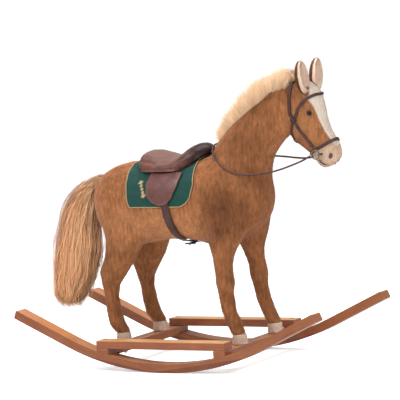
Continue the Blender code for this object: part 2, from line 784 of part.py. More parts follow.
def build_flaps():
    """Each flap hangs from its top edge, on the blanket, below the seat."""
    outline = [
        (-0.076, FLAP_TOP_Z),
        (-0.086, 0.590),
        (-0.080, 0.556),
        (-0.060, 0.533),
        (-0.032, 0.523),
        (-0.006, 0.529),
        (0.014, 0.548),
        (0.031, 0.587),
        (0.040, FLAP_TOP_Z),
    ]
    for side, sign in SIDES.items():
        y_low, y_high = sorted((sign * 0.05, sign * 0.2))
        pivot = (FLAP_PIVOT[0], sign * FLAP_PIVOT[1], FLAP_PIVOT[2])
        finish(layer(*FLAP_LAYER, outline, y_low, y_high), f"saddle_flap_{side}", LEATHER, pivot)


def build_girth():
    outline = [(-0.0310, 0.560), (-0.0040, 0.560), (0.0165, 0.30), (-0.0105, 0.30)]
    finish(layer(*GIRTH_LAYER, outline), "girth_strap", LEATHER)
    x_low, x_high = BUCKLE_X
    near, far = BUCKLE_Y - 0.009, BUCKLE_Y + 0.009
    ease = 0.003
    corners = [
        (x_low + ease, near, BUCKLE_Z),
        (x_high - ease, near, BUCKLE_Z),
        (x_high, near + ease, BUCKLE_Z),
        (x_high, far - ease, BUCKLE_Z),
        (x_high - ease, far, BUCKLE_Z),
        (x_low + ease, far, BUCKLE_Z),
        (x_low, far - ease, BUCKLE_Z),
        (x_low, near + ease, BUCKLE_Z),
    ]
    finish(tube(corners, BUCKLE_WIRE, closed=True), "girth_buckle", BRASS)
    prong_z = BUCKLE_Z - BUCKLE_WIRE - PRONG_RADIUS - GAP
    middle = (x_low + x_high) / 2
    prong = tube([(middle, near, prong_z), (middle, far + 0.0025, prong_z)], PRONG_RADIUS)
    finish(prong, "buckle_prong", BRASS, (middle, near, prong_z))
    path = [
        (middle + 0.001, far + 0.003, BUCKLE_Z + 0.0008),
        (middle + 0.003, far + 0.020, BUCKLE_Z + 0.0006),
        (middle + 0.007, far + 0.040, BUCKLE_Z - 0.0006),
        (middle + 0.012, far + 0.062, BUCKLE_Z - 0.0055),
        (middle + 0.016, far + 0.078, BUCKLE_Z - 0.0125),
    ]
    finish(ribbon(path, 0.020, 0.0022), "girth_free_end", LEATHER)


# ---------------------------------------------------------------------------
# The bridle, the bit and the rein
# ---------------------------------------------------------------------------


def bit_bar_point(y):
    return (BIT_RING_CENTRE[0] + BIT_RING_RADIUS, y, BIT_RING_CENTRE[2])


def strap_on(surface, path, width, closed=False, lift=BRIDLE_LIFT, steps=4):
    """A flat strap laid along a path on the skin, given by points near the skin."""
    rows = list(path)
    if closed:
        rows = [path[-1]] + rows + [path[0], path[1]]
        points = smooth_rows(rows, steps)[steps : -steps - 1]
    else:
        points = smooth_rows(rows, steps)
    laid = []
    for point in points:
        place, normal, _, _ = surface.find_nearest(Vector(point))
        laid.append([place, normal])
    count = len(laid)
    for _ in range(2):
        normals = [item[1] for item in laid]
        for i, item in enumerate(laid):
            spots = [(i + k) % count if closed else min(max(i + k, 0), count - 1) for k in (-1, 0, 1)]
            item[1] = sum((normals[spot] for spot in spots), Vector()).normalized()
    bm = bmesh.new()
    rings = []
    for i, (place, normal) in enumerate(laid):
        ahead = laid[(i + 1) % count][0] if closed else laid[min(i + 1, count - 1)][0]
        behind = laid[i - 1][0] if closed or i else laid[0][0]
        run = (ahead - behind).normalized()
        across = run.cross(normal).normalized() * (width / 2)
        low, high = normal * lift, normal * (lift + BRIDLE_THICKNESS)
        rings.append(
            [bm.verts.new(place + s * across + h) for s, h in ((-1, low), (1, low), (1, high), (-1, high))]
        )
    pairs = list(zip(rings, rings[1:])) + ([(rings[-1], rings[0])] if closed else [])
    for first, second in pairs:
        for k in range(4):
            bm.faces.new((first[k], first[k - 1], second[k - 1], second[k]))
    if not closed:
        bm.faces.new(rings[0])
        bm.faces.new(reversed(rings[-1]))
    return from_bmesh(bm)


def mirrored(path):
    """The path over the right side, then back along the left."""
    other = [(x, -y, z) for x, y, z in reversed(path) if abs(y) > 0.001]
    return list(path) + other


def build_bridle(body, body_clear):
    surface = BVHTree.FromObject(body, bpy.context.evaluated_depsgraph_get())
    rosette = Vector((0.436, -0.060, 0.779))
    headpiece = mirrored(
        [
            (0.4285, -0.06, 0.790),
            (0.422, -0.06, 0.812),
            (0.420, -0.055, 0.840),
            (0.423, -0.047, 0.868),
            (0.428, -0.028, 0.895),
            (0.430, 0.0, 0.905),
        ]
    )
    browband = mirrored(
        [
            (0.446, -0.06, 0.789),
            (0.462, -0.06, 0.818),
            (0.486, -0.050, 0.842),
            (0.514, -0.030, 0.856),
            (0.526, 0.0, 0.858),
        ]
    )
    throat = mirrored(
        [
            (0.4300, -0.06, 0.767),
            (0.4200, -0.055, 0.750),
            (0.4160, -0.047, 0.733),
            (0.4180, -0.028, 0.712),
            (0.4200, 0.0, 0.700),
        ]
    )
    noseband = [
        (0.562, 0.0, 0.712),
        (0.552, -0.030, 0.706),
        (0.524, -0.045, 0.691),
        (0.498, -0.045, 0.680),
        (0.476, -0.026, 0.664),
        (0.466, 0.0, 0.655),
        (0.476, 0.026, 0.664),
        (0.498, 0.045, 0.680),
        (0.524, 0.045, 0.691),
        (0.552, 0.030, 0.706),
    ]
    straps = {
        "headpiece_strap": strap_on(surface, headpiece, 0.0095),
        "browband": strap_on(surface, browband, 0.0085),
        "throat_lash": strap_on(surface, throat, 0.0075),
        "noseband": strap_on(surface, noseband, 0.0095, closed=True),
    }
    for side, sign in SIDES.items():
        cheek = [(0.4445, sign * 0.06, 0.766), (0.457, sign * 0.06, 0.744), (0.4975, sign * 0.05, 0.6885)]
        straps[f"cheek_strap_{side}"] = strap_on(surface, cheek, 0.0085)
    for name, strap in straps.items():
        finish(cut(strap, body_clear), name, LEATHER)
    for side, sign in SIDES.items():
        place, normal, _, _ = surface.find_nearest(Vector((rosette.x, sign * 0.06, rosette.z)))
        start = place + normal * (BRIDLE_LIFT + BRIDLE_THICKNESS + 0.0005)
        stud = cylinder(start, start + normal * 0.0022, 0.0085, 14, 0.0060)
        finish(stud, f"rosette_{side}", LEATHER)


def build_bit():
    for side, sign in SIDES.items():
        centre = (BIT_RING_CENTRE[0], sign * BIT_RING_CENTRE[1], BIT_RING_CENTRE[2])
        finish(ring(centre, BIT_RING_RADIUS, BIT_RING_WIRE), f"bit_ring_{side}", STEEL, centre)
    bar = cylinder(bit_bar_point(-0.0545), bit_bar_point(0.0545), BIT_BAR_RADIUS, 12)
    for sign in SIDES.values():
        centre = (BIT_RING_CENTRE[0], sign * BIT_RING_CENTRE[1], BIT_RING_CENTRE[2])
        cut(bar, ring(centre, BIT_RING_RADIUS, BIT_RING_WIRE + GAP))
    finish(bar, "bit_bar", STEEL)


# The rein's route, from the right bit ring round the withers to the left one. It hangs lower on
# the right.
REIN_RADIUS = 0.003
REIN_ROUTE = [
    (0.4890, -0.0500, 0.6640),
    (0.4600, -0.0520, 0.6500),
    (0.4200, -0.0560, 0.6360),
    (0.3800, -0.0610, 0.6240),
    (0.3400, -0.0680, 0.6160),
    (0.3000, -0.0770, 0.6120),
    (0.2600, -0.0860, 0.6130),
    (0.2200, -0.0885, 0.6220),
    (0.1850, -0.0865, 0.6400),
    (0.1560, -0.0765, 0.6620),
    (0.1350, -0.0580, 0.6830),
    (0.1230, -0.0320, 0.6990),
    (0.1190, 0.0000, 0.7050),
    (0.1230, 0.0320, 0.6990),
    (0.1370, 0.0580, 0.6850),
    (0.1620, 0.0750, 0.6700),
    (0.1980, 0.0820, 0.6600),
    (0.2400, 0.0830, 0.6540),
    (0.2840, 0.0780, 0.6520),
    (0.3280, 0.0700, 0.6500),
    (0.3700, 0.0620, 0.6470),
    (0.4120, 0.0560, 0.6460),
    (0.4540, 0.0520, 0.6520),
    (0.4890, 0.0500, 0.6640),
]
REIN_STEPS = 3


def build_rein():
    route = smooth_rows(REIN_ROUTE, REIN_STEPS)
    curve = bpy.data.curves.new("rein", "CURVE")
    curve.dimensions = "3D"
    curve.bevel_depth = REIN_RADIUS
    curve.bevel_resolution = 2
    curve.use_fill_caps = True
    spline = curve.splines.new("POLY")
    spline.points.add(len(route) - 1)
    for point, place in zip(spline.points, route):
        point.co = (*place, 1.0)
    curve.materials.append(LEATHER)
    PARTS.objects.link(bpy.data.objects.new("rein", curve))


build_base()
build_bolts()
build_foot_nuts()
BODY = build_horse()
BODY_CLEAR = copy_of(BODY, 0.0004)
build_hooves()
build_eyes()
build_ears(BODY_CLEAR)
build_hair(BODY_CLEAR)
build_blanket()
build_saddle()
build_flaps()
build_girth()
build_bridle(BODY, BODY_CLEAR)
build_bit()
build_rein()
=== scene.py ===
"""A plush ride-on horse with tack, on a bolted bent-wood rocker base, put together piece by piece.

Metres, +Z up. +X is the way the horse faces and +Y its left. Sections follow the order of making:
base, fixings, stuffed body and its pile, hair, blanket and saddle, bridle, rein, then the studio.
"""

import math

import bmesh
import bpy
import numpy as np
from mathutils import Matrix, Vector, noise
from mathutils.bvhtree import BVHTree
from mathutils.kdtree import KDTree


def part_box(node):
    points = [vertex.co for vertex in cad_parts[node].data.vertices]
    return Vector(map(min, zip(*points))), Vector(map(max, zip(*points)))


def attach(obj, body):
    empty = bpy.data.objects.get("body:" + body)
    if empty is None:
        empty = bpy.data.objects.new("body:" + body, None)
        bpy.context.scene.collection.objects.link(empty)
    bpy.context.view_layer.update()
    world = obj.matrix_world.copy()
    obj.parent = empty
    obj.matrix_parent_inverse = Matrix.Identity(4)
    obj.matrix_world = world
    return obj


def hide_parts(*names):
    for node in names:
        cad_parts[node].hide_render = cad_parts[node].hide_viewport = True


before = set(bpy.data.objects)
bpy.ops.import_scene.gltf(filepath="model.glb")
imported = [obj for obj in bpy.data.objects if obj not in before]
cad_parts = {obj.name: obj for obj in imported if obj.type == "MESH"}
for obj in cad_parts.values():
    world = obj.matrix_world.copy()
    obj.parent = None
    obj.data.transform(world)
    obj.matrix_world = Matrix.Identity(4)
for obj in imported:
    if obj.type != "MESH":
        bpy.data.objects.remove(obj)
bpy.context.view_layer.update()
SIDES = {"right": -1, "left": 1}


# ---------------------------------------------------------------------------
# The camera stands to the right of the horse and toward its front, a little above it, with a
# long lens.
# ---------------------------------------------------------------------------

AIM = Vector((0.0339, 0.0, 0.5229))
AZIMUTH, ELEVATION, TILT = (math.radians(angle) for angle in (33.19, 6.442, 4.801))
STAND_OFF = 10.0

toward = Vector(
    (-math.sin(AZIMUTH) * math.cos(ELEVATION), math.cos(AZIMUTH) * math.cos(ELEVATION), -math.sin(ELEVATION))
)
level_right = Vector((math.cos(AZIMUTH), math.sin(AZIMUTH), 0.0))
level_up = level_right.cross(toward)
camera_right = level_right * math.cos(TILT) - level_up * math.sin(TILT)
camera_up = level_up * math.cos(TILT) + level_right * math.sin(TILT)
camera_data = bpy.data.cameras.new("studio_camera")
camera_data.sensor_width = 36.0
camera_data.lens = 279.44
camera_data.clip_end = 60.0
camera = bpy.data.objects.new("studio_camera", camera_data)
bpy.context.scene.collection.objects.link(camera)
turned = Matrix((camera_right, camera_up, -toward)).transposed().to_4x4()
camera.matrix_world = Matrix.Translation(AIM - toward * STAND_OFF) @ turned
bpy.context.scene.camera = camera


# ---------------------------------------------------------------------------
# The base: two rockers bent from thin beech laths glued together, two cross bars and two side
# rails. All are sanded round at the edges, stained and varnished.
# ---------------------------------------------------------------------------

ROCKER_SLOPE = math.radians(24.2)
ROCKER_RADIUS = 0.373 / math.sin(ROCKER_SLOPE)
LATH = 0.0036
EDGE_ROUND = 0.0022


def new_finish(name, **sockets):
    """A material, its node tree and its shader, with the plain values set on the shader."""
    material = bpy.data.materials.new(name)
    material.use_nodes = True
    shader = material.node_tree.nodes["Principled BSDF"]
    for socket, value in sockets.items():
        shader.inputs[socket.replace("_", " ")].default_value = value
    return material, material.node_tree, shader


def add(tree, kind, inputs=None, **settings):
    """A node of the tree, with its settings and its inputs, which are values or other sockets."""
    made = tree.nodes.new(kind)
    for key, value in settings.items():
        setattr(made, key, value)
    for key, value in (inputs or {}).items():
        if isinstance(value, bpy.types.NodeSocket):
            tree.links.new(value, made.inputs[key])
        else:
            made.inputs[key].default_value = value
    return made


def place(tree, scale, turn=(0.0, 0.0, 0.0)):
    """The piece's own coordinates, scaled and turned."""
    coordinates = add(tree, "ShaderNodeTexCoord").outputs["Object"]
    settings = {"Vector": coordinates, "Scale": scale, "Rotation": turn}
    return add(tree, "ShaderNodeMapping", settings).outputs["Vector"]


def cloudy(tree, where, scale, detail=4.0, rough=0.55):
    """Soft noise from 0 to 1."""
    settings = {"Vector": where, "Scale": scale, "Detail": detail, "Roughness": rough}
    return add(tree, "ShaderNodeTexNoise", settings).outputs["Fac"]


def grey(level):
    """The same level in red, green and blue."""
    return (level,) * 3


def upward_share(tree):
    """1 where the surface looks straight up, 0 where it stands upright and -1 where it looks down."""
    normal = add(tree, "ShaderNodeNewGeometry").outputs["Normal"]
    return add(tree, "ShaderNodeSeparateXYZ", {"Vector": normal}).outputs["Z"]


def sum_up(tree, operation, first, second):
    """One step of arithmetic on two values."""
    return add(tree, "ShaderNodeMath", {0: first, 1: second}, operation=operation).outputs[0]


def ramp(tree, factor, stops):
    """A colour ramp through the stops, each a place from 0 to 1 and a colour."""
    made = add(tree, "ShaderNodeValToRGB", {"Fac": factor})
    elements = made.color_ramp.elements
    while len(elements) < len(stops):
        elements.new(0.5)
    for element, (at, colour) in zip(elements, stops):
        element.position = at
        element.color = (*colour, 1.0)
    return made.outputs["Color"]


def mix(tree, factor, first, second, mode="MIX"):
    """Two colours mixed by the factor."""
    made = add(tree, "ShaderNodeMix", data_type="RGBA", blend_type=mode)
    for index, value in ((0, factor), (6, first), (7, second)):
        if isinstance(value, bpy.types.NodeSocket):
            tree.links.new(value, made.inputs[index])
        else:
            made.inputs[index].default_value = value if index == 0 else (*value, 1.0)
    return made.outputs[2]


def raise_by(tree, shader, height, strength, distance):
    """Bump from a height on the shader's normal."""
    bump = add(tree, "ShaderNodeBump", {"Height": height, "Strength": strength, "Distance": distance})
    tree.links.new(bump.outputs["Normal"], shader.inputs["Normal"])


def beech_finish(name, pale, dark, painted_side_shade):
    """Varnished beech: long fibres, short dark flecks, and painted shade that makes the sides darker than the
    upward faces.
    """
    material, tree, shader = new_finish(name, Roughness=0.42, Coat_Weight=0.10, Coat_Roughness=0.28)
    shader.inputs["Specular IOR Level"].default_value = 0.3
    grain = add(tree, "ShaderNodeAttribute", attribute_name="grain").outputs["Vector"]
    long_way = add(tree, "ShaderNodeMapping", {"Vector": grain, "Scale": (5.0, 90.0, 90.0)}).outputs["Vector"]
    fibres = cloudy(tree, long_way, 3.0, 7.0, 0.6)
    short_way = add(tree, "ShaderNodeMapping", {"Vector": grain, "Scale": (90.0, 900.0, 900.0)})
    pores = {"Vector": short_way.outputs["Vector"], "Scale": 1.0}
    cells = add(tree, "ShaderNodeTexVoronoi", pores, feature="F1")
    fleck_share = ramp(tree, cells.outputs["Distance"], [(0.10, grey(0.45)), (0.22, grey(0.0))])
    broad = cloudy(tree, grain, 9.0, 2.0)
    lift = add(tree, "ShaderNodeSeparateXYZ", {"Vector": grain}).outputs["Z"]
    layer = sum_up(tree, "DIVIDE", lift, LATH)
    whole = sum_up(tree, "FLOOR", layer, 0.0)
    lath_tone = add(tree, "ShaderNodeTexWhiteNoise", {"W": whole}, noise_dimensions="1D")
    seam = sum_up(tree, "PINGPONG", layer, 0.5)
    middle = tuple((a + b) / 2 for a, b in zip(pale, dark))
    colour = ramp(tree, fibres, [(0.30, dark), (0.52, middle), (0.72, pale)])
    colour = mix(tree, 0.35, colour, ramp(tree, broad, [(0.35, dark), (0.65, pale)]))
    colour = mix(tree, fleck_share, colour, tuple(c * 0.55 for c in dark))
    colour = mix(tree, 0.16, colour, lath_tone.outputs["Color"], "SOFT_LIGHT")
    seam_share = ramp(tree, seam, [(0.03, grey(0.55)), (0.09, grey(0.0))])
    colour = mix(tree, seam_share, colour, tuple(c * 0.4 for c in dark))
    # Painted shade: faces that do not look up are multiplied darker by the side colour.
    upward = ramp(tree, upward_share(tree), [(0.35, painted_side_shade), (0.85, grey(1.0))])
    colour = mix(tree, 1.0, colour, upward, "MULTIPLY")
    tree.links.new(colour, shader.inputs["Base Color"])
    sheen_spread = add(tree, "ShaderNodeMapRange", {"Value": fibres, "To Min": 0.34, "To Max": 0.52})
    tree.links.new(sheen_spread.outputs["Result"], shader.inputs["Roughness"])
    raise_by(tree, shader, sum_up(tree, "ADD", fibres, seam), 0.25, 0.0006)
    return material


def merged_copy(*nodes):
    """The nodes' own shapes in one bmesh, with their loose triangles joined at the corners."""
    bm = bmesh.new()
    for node in nodes:
        bm.from_mesh(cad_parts[node].data)
    bmesh.ops.remove_doubles(bm, verts=bm.verts, dist=1e-5)
    return bm


def round_edges(bm, width, segments=3, over=35.0):
    """Joins the flat triangles into whole faces, then rounds every edge sharper than an angle."""
    bmesh.ops.dissolve_limit(bm, angle_limit=math.radians(0.5), verts=bm.verts, edges=bm.edges)
    folded = [edge for edge in bm.edges if len(edge.link_faces) == 2]
    sharp = [edge for edge in folded if edge.calc_face_angle() > math.radians(over)]
    bmesh.ops.bevel(
        bm, geom=sharp, offset=width, segments=segments, profile=0.5, affect="EDGES", material=-1,
        clamp_overlap=True,
    )


def make_piece(bm, name, material, body="horse", nodes=(), smooth=40.0):
    """The finished piece: its mesh, its material, the body that it moves with, what it stands for."""
    mesh = bpy.data.meshes.new(name)
    bm.to_mesh(mesh)
    bm.free()
    obj = bpy.data.objects.new(name, mesh)
    bpy.context.scene.collection.objects.link(obj)
    mesh.materials.append(material)
    mesh.shade_smooth()
    mesh.set_sharp_from_angle(angle=math.radians(smooth))
    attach(obj, body)
    if nodes:
        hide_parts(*nodes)
    return obj


def even_shading(obj):
    """Keeps large flat faces evenly lit next to their small rounded edges."""
    modifier = obj.modifiers.new("even_shading", "WEIGHTED_NORMAL")
    modifier.keep_sharp = True


def set_grain(obj, along):
    """Stores where each point lies along, across and up through the wood."""
    attribute = obj.data.attributes.new("grain", "FLOAT_VECTOR", "POINT")
    values = [along(vertex.co) for vertex in obj.data.vertices]
    attribute.data.foreach_set("vector", np.array(values, np.float32).ravel())


def along_rocker(point):
    """Distance along the bent laths, across them, and up through them."""
    turn = math.atan2(point.x, ROCKER_RADIUS - point.z)
    if abs(turn) <= ROCKER_SLOPE:
        return (turn * ROCKER_RADIUS, point.y, ROCKER_RADIUS - math.hypot(point.x, ROCKER_RADIUS - point.z))
    side = math.copysign(1.0, point.x)
    start_x = ROCKER_RADIUS * math.sin(ROCKER_SLOPE)
    start_z = ROCKER_RADIUS * (1 - math.cos(ROCKER_SLOPE))
    out_x, out_z = abs(point.x) - start_x, point.z - start_z
    run = out_x * math.cos(ROCKER_SLOPE) + out_z * math.sin(ROCKER_SLOPE)
    lift = out_z * math.cos(ROCKER_SLOPE) - out_x * math.sin(ROCKER_SLOPE)
    return (side * (ROCKER_SLOPE * ROCKER_RADIUS + run), point.y, lift)


# The boards' beech is painted paler than the rockers' as painted light, making up for the horse's shade over
# the rails and bars.
rocker_beech = beech_finish("rocker_beech", (0.56, 0.27, 0.115), (0.34, 0.125, 0.048), (0.52, 0.38, 0.31))
board_beech = beech_finish("board_beech", (0.78, 0.375, 0.160), (0.47, 0.170, 0.066), (0.40, 0.29, 0.24))
for side in SIDES:
    bm = merged_copy(f"rocker_{side}")
    round_edges(bm, EDGE_ROUND)
    rocker = make_piece(bm, f"bent_rocker_{side}", rocker_beech, nodes=(f"rocker_{side}",))
    set_grain(rocker, along_rocker)
    even_shading(rocker)
    bm = merged_copy(f"side_rail_{side}")
    round_edges(bm, EDGE_ROUND)
    rail = make_piece(bm, f"foot_rail_{side}", board_beech, nodes=(f"side_rail_{side}",))
    set_grain(rail, lambda point: (point.x + 3.0, point.y * 1.3, point.z + 0.0007))
    even_shading(rail)
for end in ("front", "rear"):
    bm = merged_copy(f"cross_bar_{end}")
    round_edges(bm, EDGE_ROUND)
    bar = make_piece(bm, f"bed_bar_{end}", board_beech, nodes=(f"cross_bar_{end}",))
    set_grain(bar, lambda point: (point.y + 7.0, point.x * 1.3, point.z + 0.0011))
    even_shading(bar)


# ---------------------------------------------------------------------------
# The fixings: zinc-plated bolts through the four corners of the base with sleeve nuts under
# them, nuts on the horse's threaded feet, and the welded rod frame hidden in the stuffing.
# ---------------------------------------------------------------------------


def metal_finish(name, colour, roughness, streak):
    """Plated steel with fine drawn streaks and a faint uneven bloom."""
    material, tree, shader = new_finish(name, Metallic=1.0)
    streaks = cloudy(tree, place(tree, streak), 8.0, 5.0)
    bloom = cloudy(tree, place(tree, (1.0, 1.0, 1.0)), 60.0, 2.0)
    tones = [(0.30, tuple(c * 0.80 for c in colour)), (0.70, colour)]
    plated = mix(tree, 0.5, ramp(tree, streaks, tones), ramp(tree, bloom, tones))
    tree.links.new(plated, shader.inputs["Base Color"])
    gloss = {"Value": streaks, "To Min": roughness * 0.75, "To Max": roughness * 1.3}
    spread = add(tree, "ShaderNodeMapRange", gloss)
    tree.links.new(spread.outputs["Result"], shader.inputs["Roughness"])
    raise_by(tree, shader, streaks, 0.08, 0.0002)
    return material


zinc = metal_finish("zinc_plated_steel", (0.66, 0.66, 0.63), 0.32, (40.0, 40.0, 220.0))
CORNERS = ("front_left", "front_right", "rear_left", "rear_right")
FIXINGS = (("frame_bolt", "corner_bolt"), ("sleeve_nut", "corner_sleeve"), ("foot_nut", "foot_lock_nut"))
for corner in CORNERS:
    for kind, name in FIXINGS:
        bm = merged_copy(f"{kind}_{corner}")
        round_edges(bm, 0.0006, 2)
        make_piece(bm, f"{name}_{corner}", zinc, nodes=(f"{kind}_{corner}",))
rod_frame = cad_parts["inner_frame"]
rod_frame.data.materials.clear()
rod_frame.data.materials.append(zinc)


# ---------------------------------------------------------------------------
# The stuffed body: one cover of caramel plush, cut in panels for the head, neck, trunk and
# legs, sewn together, pulled over the steel frame and filled tight.
# ---------------------------------------------------------------------------

COVER = ("trunk", "neck", "head", "leg_front_left", "leg_front_right", "leg_rear_left", "leg_rear_right")
CARAMEL = (0.490, 0.196, 0.079)
CHESTNUT = (0.155, 0.055, 0.023)
HONEY = (0.64, 0.295, 0.128)
CREAM = (0.96, 0.83, 0.70)
PEACH = (0.80, 0.56, 0.40)


def soften(bm, points, times):
    """Smooths the points a number of times."""
    for _ in range(times):
        bmesh.ops.smooth_vert(bm, verts=points, factor=0.5, use_axis_x=True, use_axis_y=True, use_axis_z=True)


def remeshed(bm, voxel, smoothing):
    """A closed, even skin over everything in the bmesh, smoothed a number of times."""
    mesh = bpy.data.meshes.new("draft")
    bm.to_mesh(mesh)
    bm.free()
    obj = bpy.data.objects.new("draft", mesh)
    bpy.context.scene.collection.objects.link(obj)
    modifier = obj.modifiers.new("voxels", "REMESH")
    modifier.mode = "VOXEL"
    modifier.voxel_size = voxel
    result = bpy.data.meshes.new_from_object(obj.evaluated_get(bpy.context.evaluated_depsgraph_get()))
    bpy.data.objects.remove(obj)
    bm = bmesh.new()
    bm.from_mesh(result)
    bpy.data.meshes.remove(result)
    soften(bm, bm.verts, smoothing)
    bm.normal_update()
    return bm


def swell(bm, amount):
    """Moves every point out along its own normal, by an amount or by a function of the point."""
    bm.normal_update()
    far = amount if callable(amount) else lambda point: amount
    moves = [(vertex, vertex.normal * far(vertex.co)) for vertex in bm.verts]
    for vertex, move in moves:
        vertex.co += move


def soft_step(value, low, high):
    """0 below low, 1 above high and smooth between, on arrays too."""
    part = np.clip((np.asarray(value, float) - low) / (high - low), 0.0, 1.0)
    return part * part * (3 - 2 * part)


def spot(points, centre, size):
    """1 at the centre, falling to 0 at about the size away, with its own size along each axis."""
    away = ((points - np.array(centre)) / np.array(size)) ** 2
    return np.exp(-away.sum(axis=1))


def blaze_share(points):
    """1 on the white mark that runs down the front of the face."""
    x, y, z = points.T
    heights = (0.70, 0.76, 0.80, 0.845, 0.862, 0.90)
    half = np.interp(z, heights, (0.0170, 0.0240, 0.0300, 0.0385, 0.0300, 0.0220))
    front = np.interp(z, (0.69, 0.73, 0.80, 0.86, 0.90), (0.526, 0.508, 0.480, 0.458, 0.440))
    across = 1 - soft_step(np.abs(y), half - 0.0015, half + 0.0015)
    return across * soft_step(x, front, front + 0.006) * soft_step(z, 0.690, 0.696)


def muzzle_share(points):
    """1 on the bare-looking muzzle, in front of the noseband."""
    ahead = (points[:, 0] - 0.504) * 0.433 - (points[:, 2] - 0.6815) * 0.901
    return soft_step(ahead, -0.002, 0.003) * soft_step(points[:, 0], 0.47, 0.48)


def coat_colour_and_painted_light(points):
    """The plush's colour: dark on the shoulder, thigh and crest, honey on flank and rump, partly its own tone
    and partly painted shade and painted light.
    """
    x, y, z = points.T
    # Painted shade over the coat's own darker patches: shoulder, upper arm, thigh, lower legs, neck and
    # crest.
    shade = 1.15 * spot(points, (0.185, 0.0, 0.505), (0.085, 0.3, 0.090))
    shade += 0.35 * spot(points, (0.160, 0.0, 0.420), (0.060, 0.3, 0.060))
    shade += 0.45 * spot(points, (-0.235, 0.0, 0.400), (0.050, 0.3, 0.060))
    shade += 0.30 * (1 - soft_step(z, 0.26, 0.42))
    shade += 0.50 * spot(points, (0.270, 0.0, 0.700), (0.080, 0.3, 0.090))
    shade += 0.55 * spot(points, (0.425, 0.0, 0.875), (0.03, 0.3, 0.03))
    # Painted shadow of the rein and the crease down the base of the neck.
    for crease_x, crease_z in ((0.270, 0.618), (0.290, 0.588), (0.306, 0.556)):
        shade += 0.40 * spot(points, (crease_x, 0.0, crease_z), (0.014, 0.3, 0.022))
    # Painted light over the coat's own honey patches on barrel, belly, rump and face.
    light = 1.0 * spot(points, (-0.080, 0.0, 0.460), (0.13, 0.3, 0.070))
    light += 0.55 * spot(points, (-0.320, 0.0, 0.560), (0.050, 0.3, 0.085))
    light += 0.50 * spot(points, (0.070, 0.0, 0.450), (0.040, 0.3, 0.06))
    light += 0.30 * spot(points, (0.490, 0.0, 0.770), (0.06, 0.3, 0.05))
    shade, light = (np.clip(part, 0, 1)[:, None] for part in (shade, light))
    colour = np.array(CARAMEL) * (1 - shade * 0.85) + np.array(CHESTNUT) * shade * 0.85
    colour = colour * (1 - light * 0.7) + np.array(HONEY) * light * 0.7
    for share, tone in ((muzzle_share(points), PEACH), (blaze_share(points), CREAM)):
        colour = colour * (1 - share[:, None]) + np.array(tone) * share[:, None]
    return colour


def set_tint(mesh, colours):
    """Stores a colour on every point."""
    attribute = mesh.attributes.new("tint", "FLOAT_COLOR", "POINT")
    rgba = np.ones((len(colours), 4), np.float32)
    rgba[:, :3] = colours
    attribute.data.foreach_set("color", rgba.ravel())


def mesh_points(mesh):
    """The mesh's points as an array."""
    points = np.empty(len(mesh.vertices) * 3, np.float32)
    mesh.vertices.foreach_get("co", points)
    return points.reshape(-1, 3).astype(float)


def plush_finish(name, patch_scale, streak, roughness=0.9):
    """Woven pile: mottled in soft patches, streaked along the lie of the pile, and no gloss."""
    material, tree, shader = new_finish(name, Roughness=roughness, Sheen_Weight=0.10, Sheen_Roughness=0.45)
    shader.inputs["Specular IOR Level"].default_value = 0.12
    tint = add(tree, "ShaderNodeAttribute", attribute_name="tint").outputs["Color"]
    patches = cloudy(tree, place(tree, (1.0, 1.0, 1.0)), patch_scale, 3.0)
    streaks = cloudy(tree, place(tree, streak), 1.0, 4.0, 0.65)
    tones = mix(
        tree,
        0.5,
        ramp(tree, patches, [(0.37, grey(0.34)), (0.63, grey(0.66))]),
        ramp(tree, streaks, [(0.36, grey(0.20)), (0.64, grey(0.80))]),
    )
    blue = add(tree, "ShaderNodeSeparateColor", {"Color": tint}).outputs["Blue"]
    plain = {"Value": blue, "From Min": 0.12, "From Max": 0.35, "To Min": 0.85, "To Max": 0.28}
    contrast = add(tree, "ShaderNodeMapRange", plain).outputs["Result"]
    tree.links.new(mix(tree, contrast, tint, tones, "OVERLAY"), shader.inputs["Base Color"])
    raise_by(tree, shader, streaks, 0.3, 0.001)
    return material


coat_plush = plush_finish("caramel_plush", 26.0, (130.0, 130.0, 24.0))

bm = merged_copy(*COVER)
swell(bm, 0.0005)
bm = remeshed(bm, 0.0045, 5)
joints = [v for v in bm.verts if 0.34 < v.co.z < 0.58 and abs(v.co.y) > 0.02]
joints += [v for v in bm.verts if 0.10 < v.co.x < 0.34 and v.co.z > 0.58]
soften(bm, joints, 26)


def sculpted(point):
    """Small hollows and swellings that the stuffing and the seams give the skin."""
    x, y, z = point
    out = -0.0016
    out += 0.0010 * noise.noise(point * 22.0)
    side = abs(y)
    for (cx, cy, cz), size, amount in (
        ((0.205, 0.100, 0.520), 0.045, 0.0040),
        ((0.285, 0.060, 0.600), 0.018, -0.0050),
        ((0.270, 0.085, 0.560), 0.022, -0.0040),
        ((-0.240, 0.115, 0.520), 0.050, 0.0035),
        ((-0.170, 0.110, 0.430), 0.030, -0.0030),
        ((0.497, 0.047, 0.799), 0.012, -0.0022),
        ((0.497, 0.046, 0.818), 0.014, 0.0022),
        ((0.466, 0.046, 0.728), 0.022, -0.0008),
        ((0.556, 0.030, 0.661), 0.0075, -0.0030),
        ((0.548, 0.036, 0.668), 0.010, 0.0014),
    ):
        away = ((x - cx) ** 2 + (side - cy) ** 2 + (z - cz) ** 2) / size**2
        out += amount * math.exp(-away)
    mouth = (x - 0.533) * 0.508 + (z - 0.641) * 0.861
    if 0.505 < x < 0.565 and z < 0.66:
        out -= 0.0030 * math.exp(-((mouth / 0.0032) ** 2))
    return out


swell(bm, sculpted)
body_skin = make_piece(bm, "plush_cover", coat_plush, nodes=COVER, smooth=180.0)
# The skin under the pile is painted darker than the coat: painted shade deep in the pile.
set_tint(body_skin.data, coat_colour_and_painted_light(mesh_points(body_skin.data)) * 0.62)


# ---------------------------------------------------------------------------
# The pile of the plush: short soft fibres woven into the cover, brushed backward and down,
# clipped close on the face and worn flat under the tack.
# ---------------------------------------------------------------------------

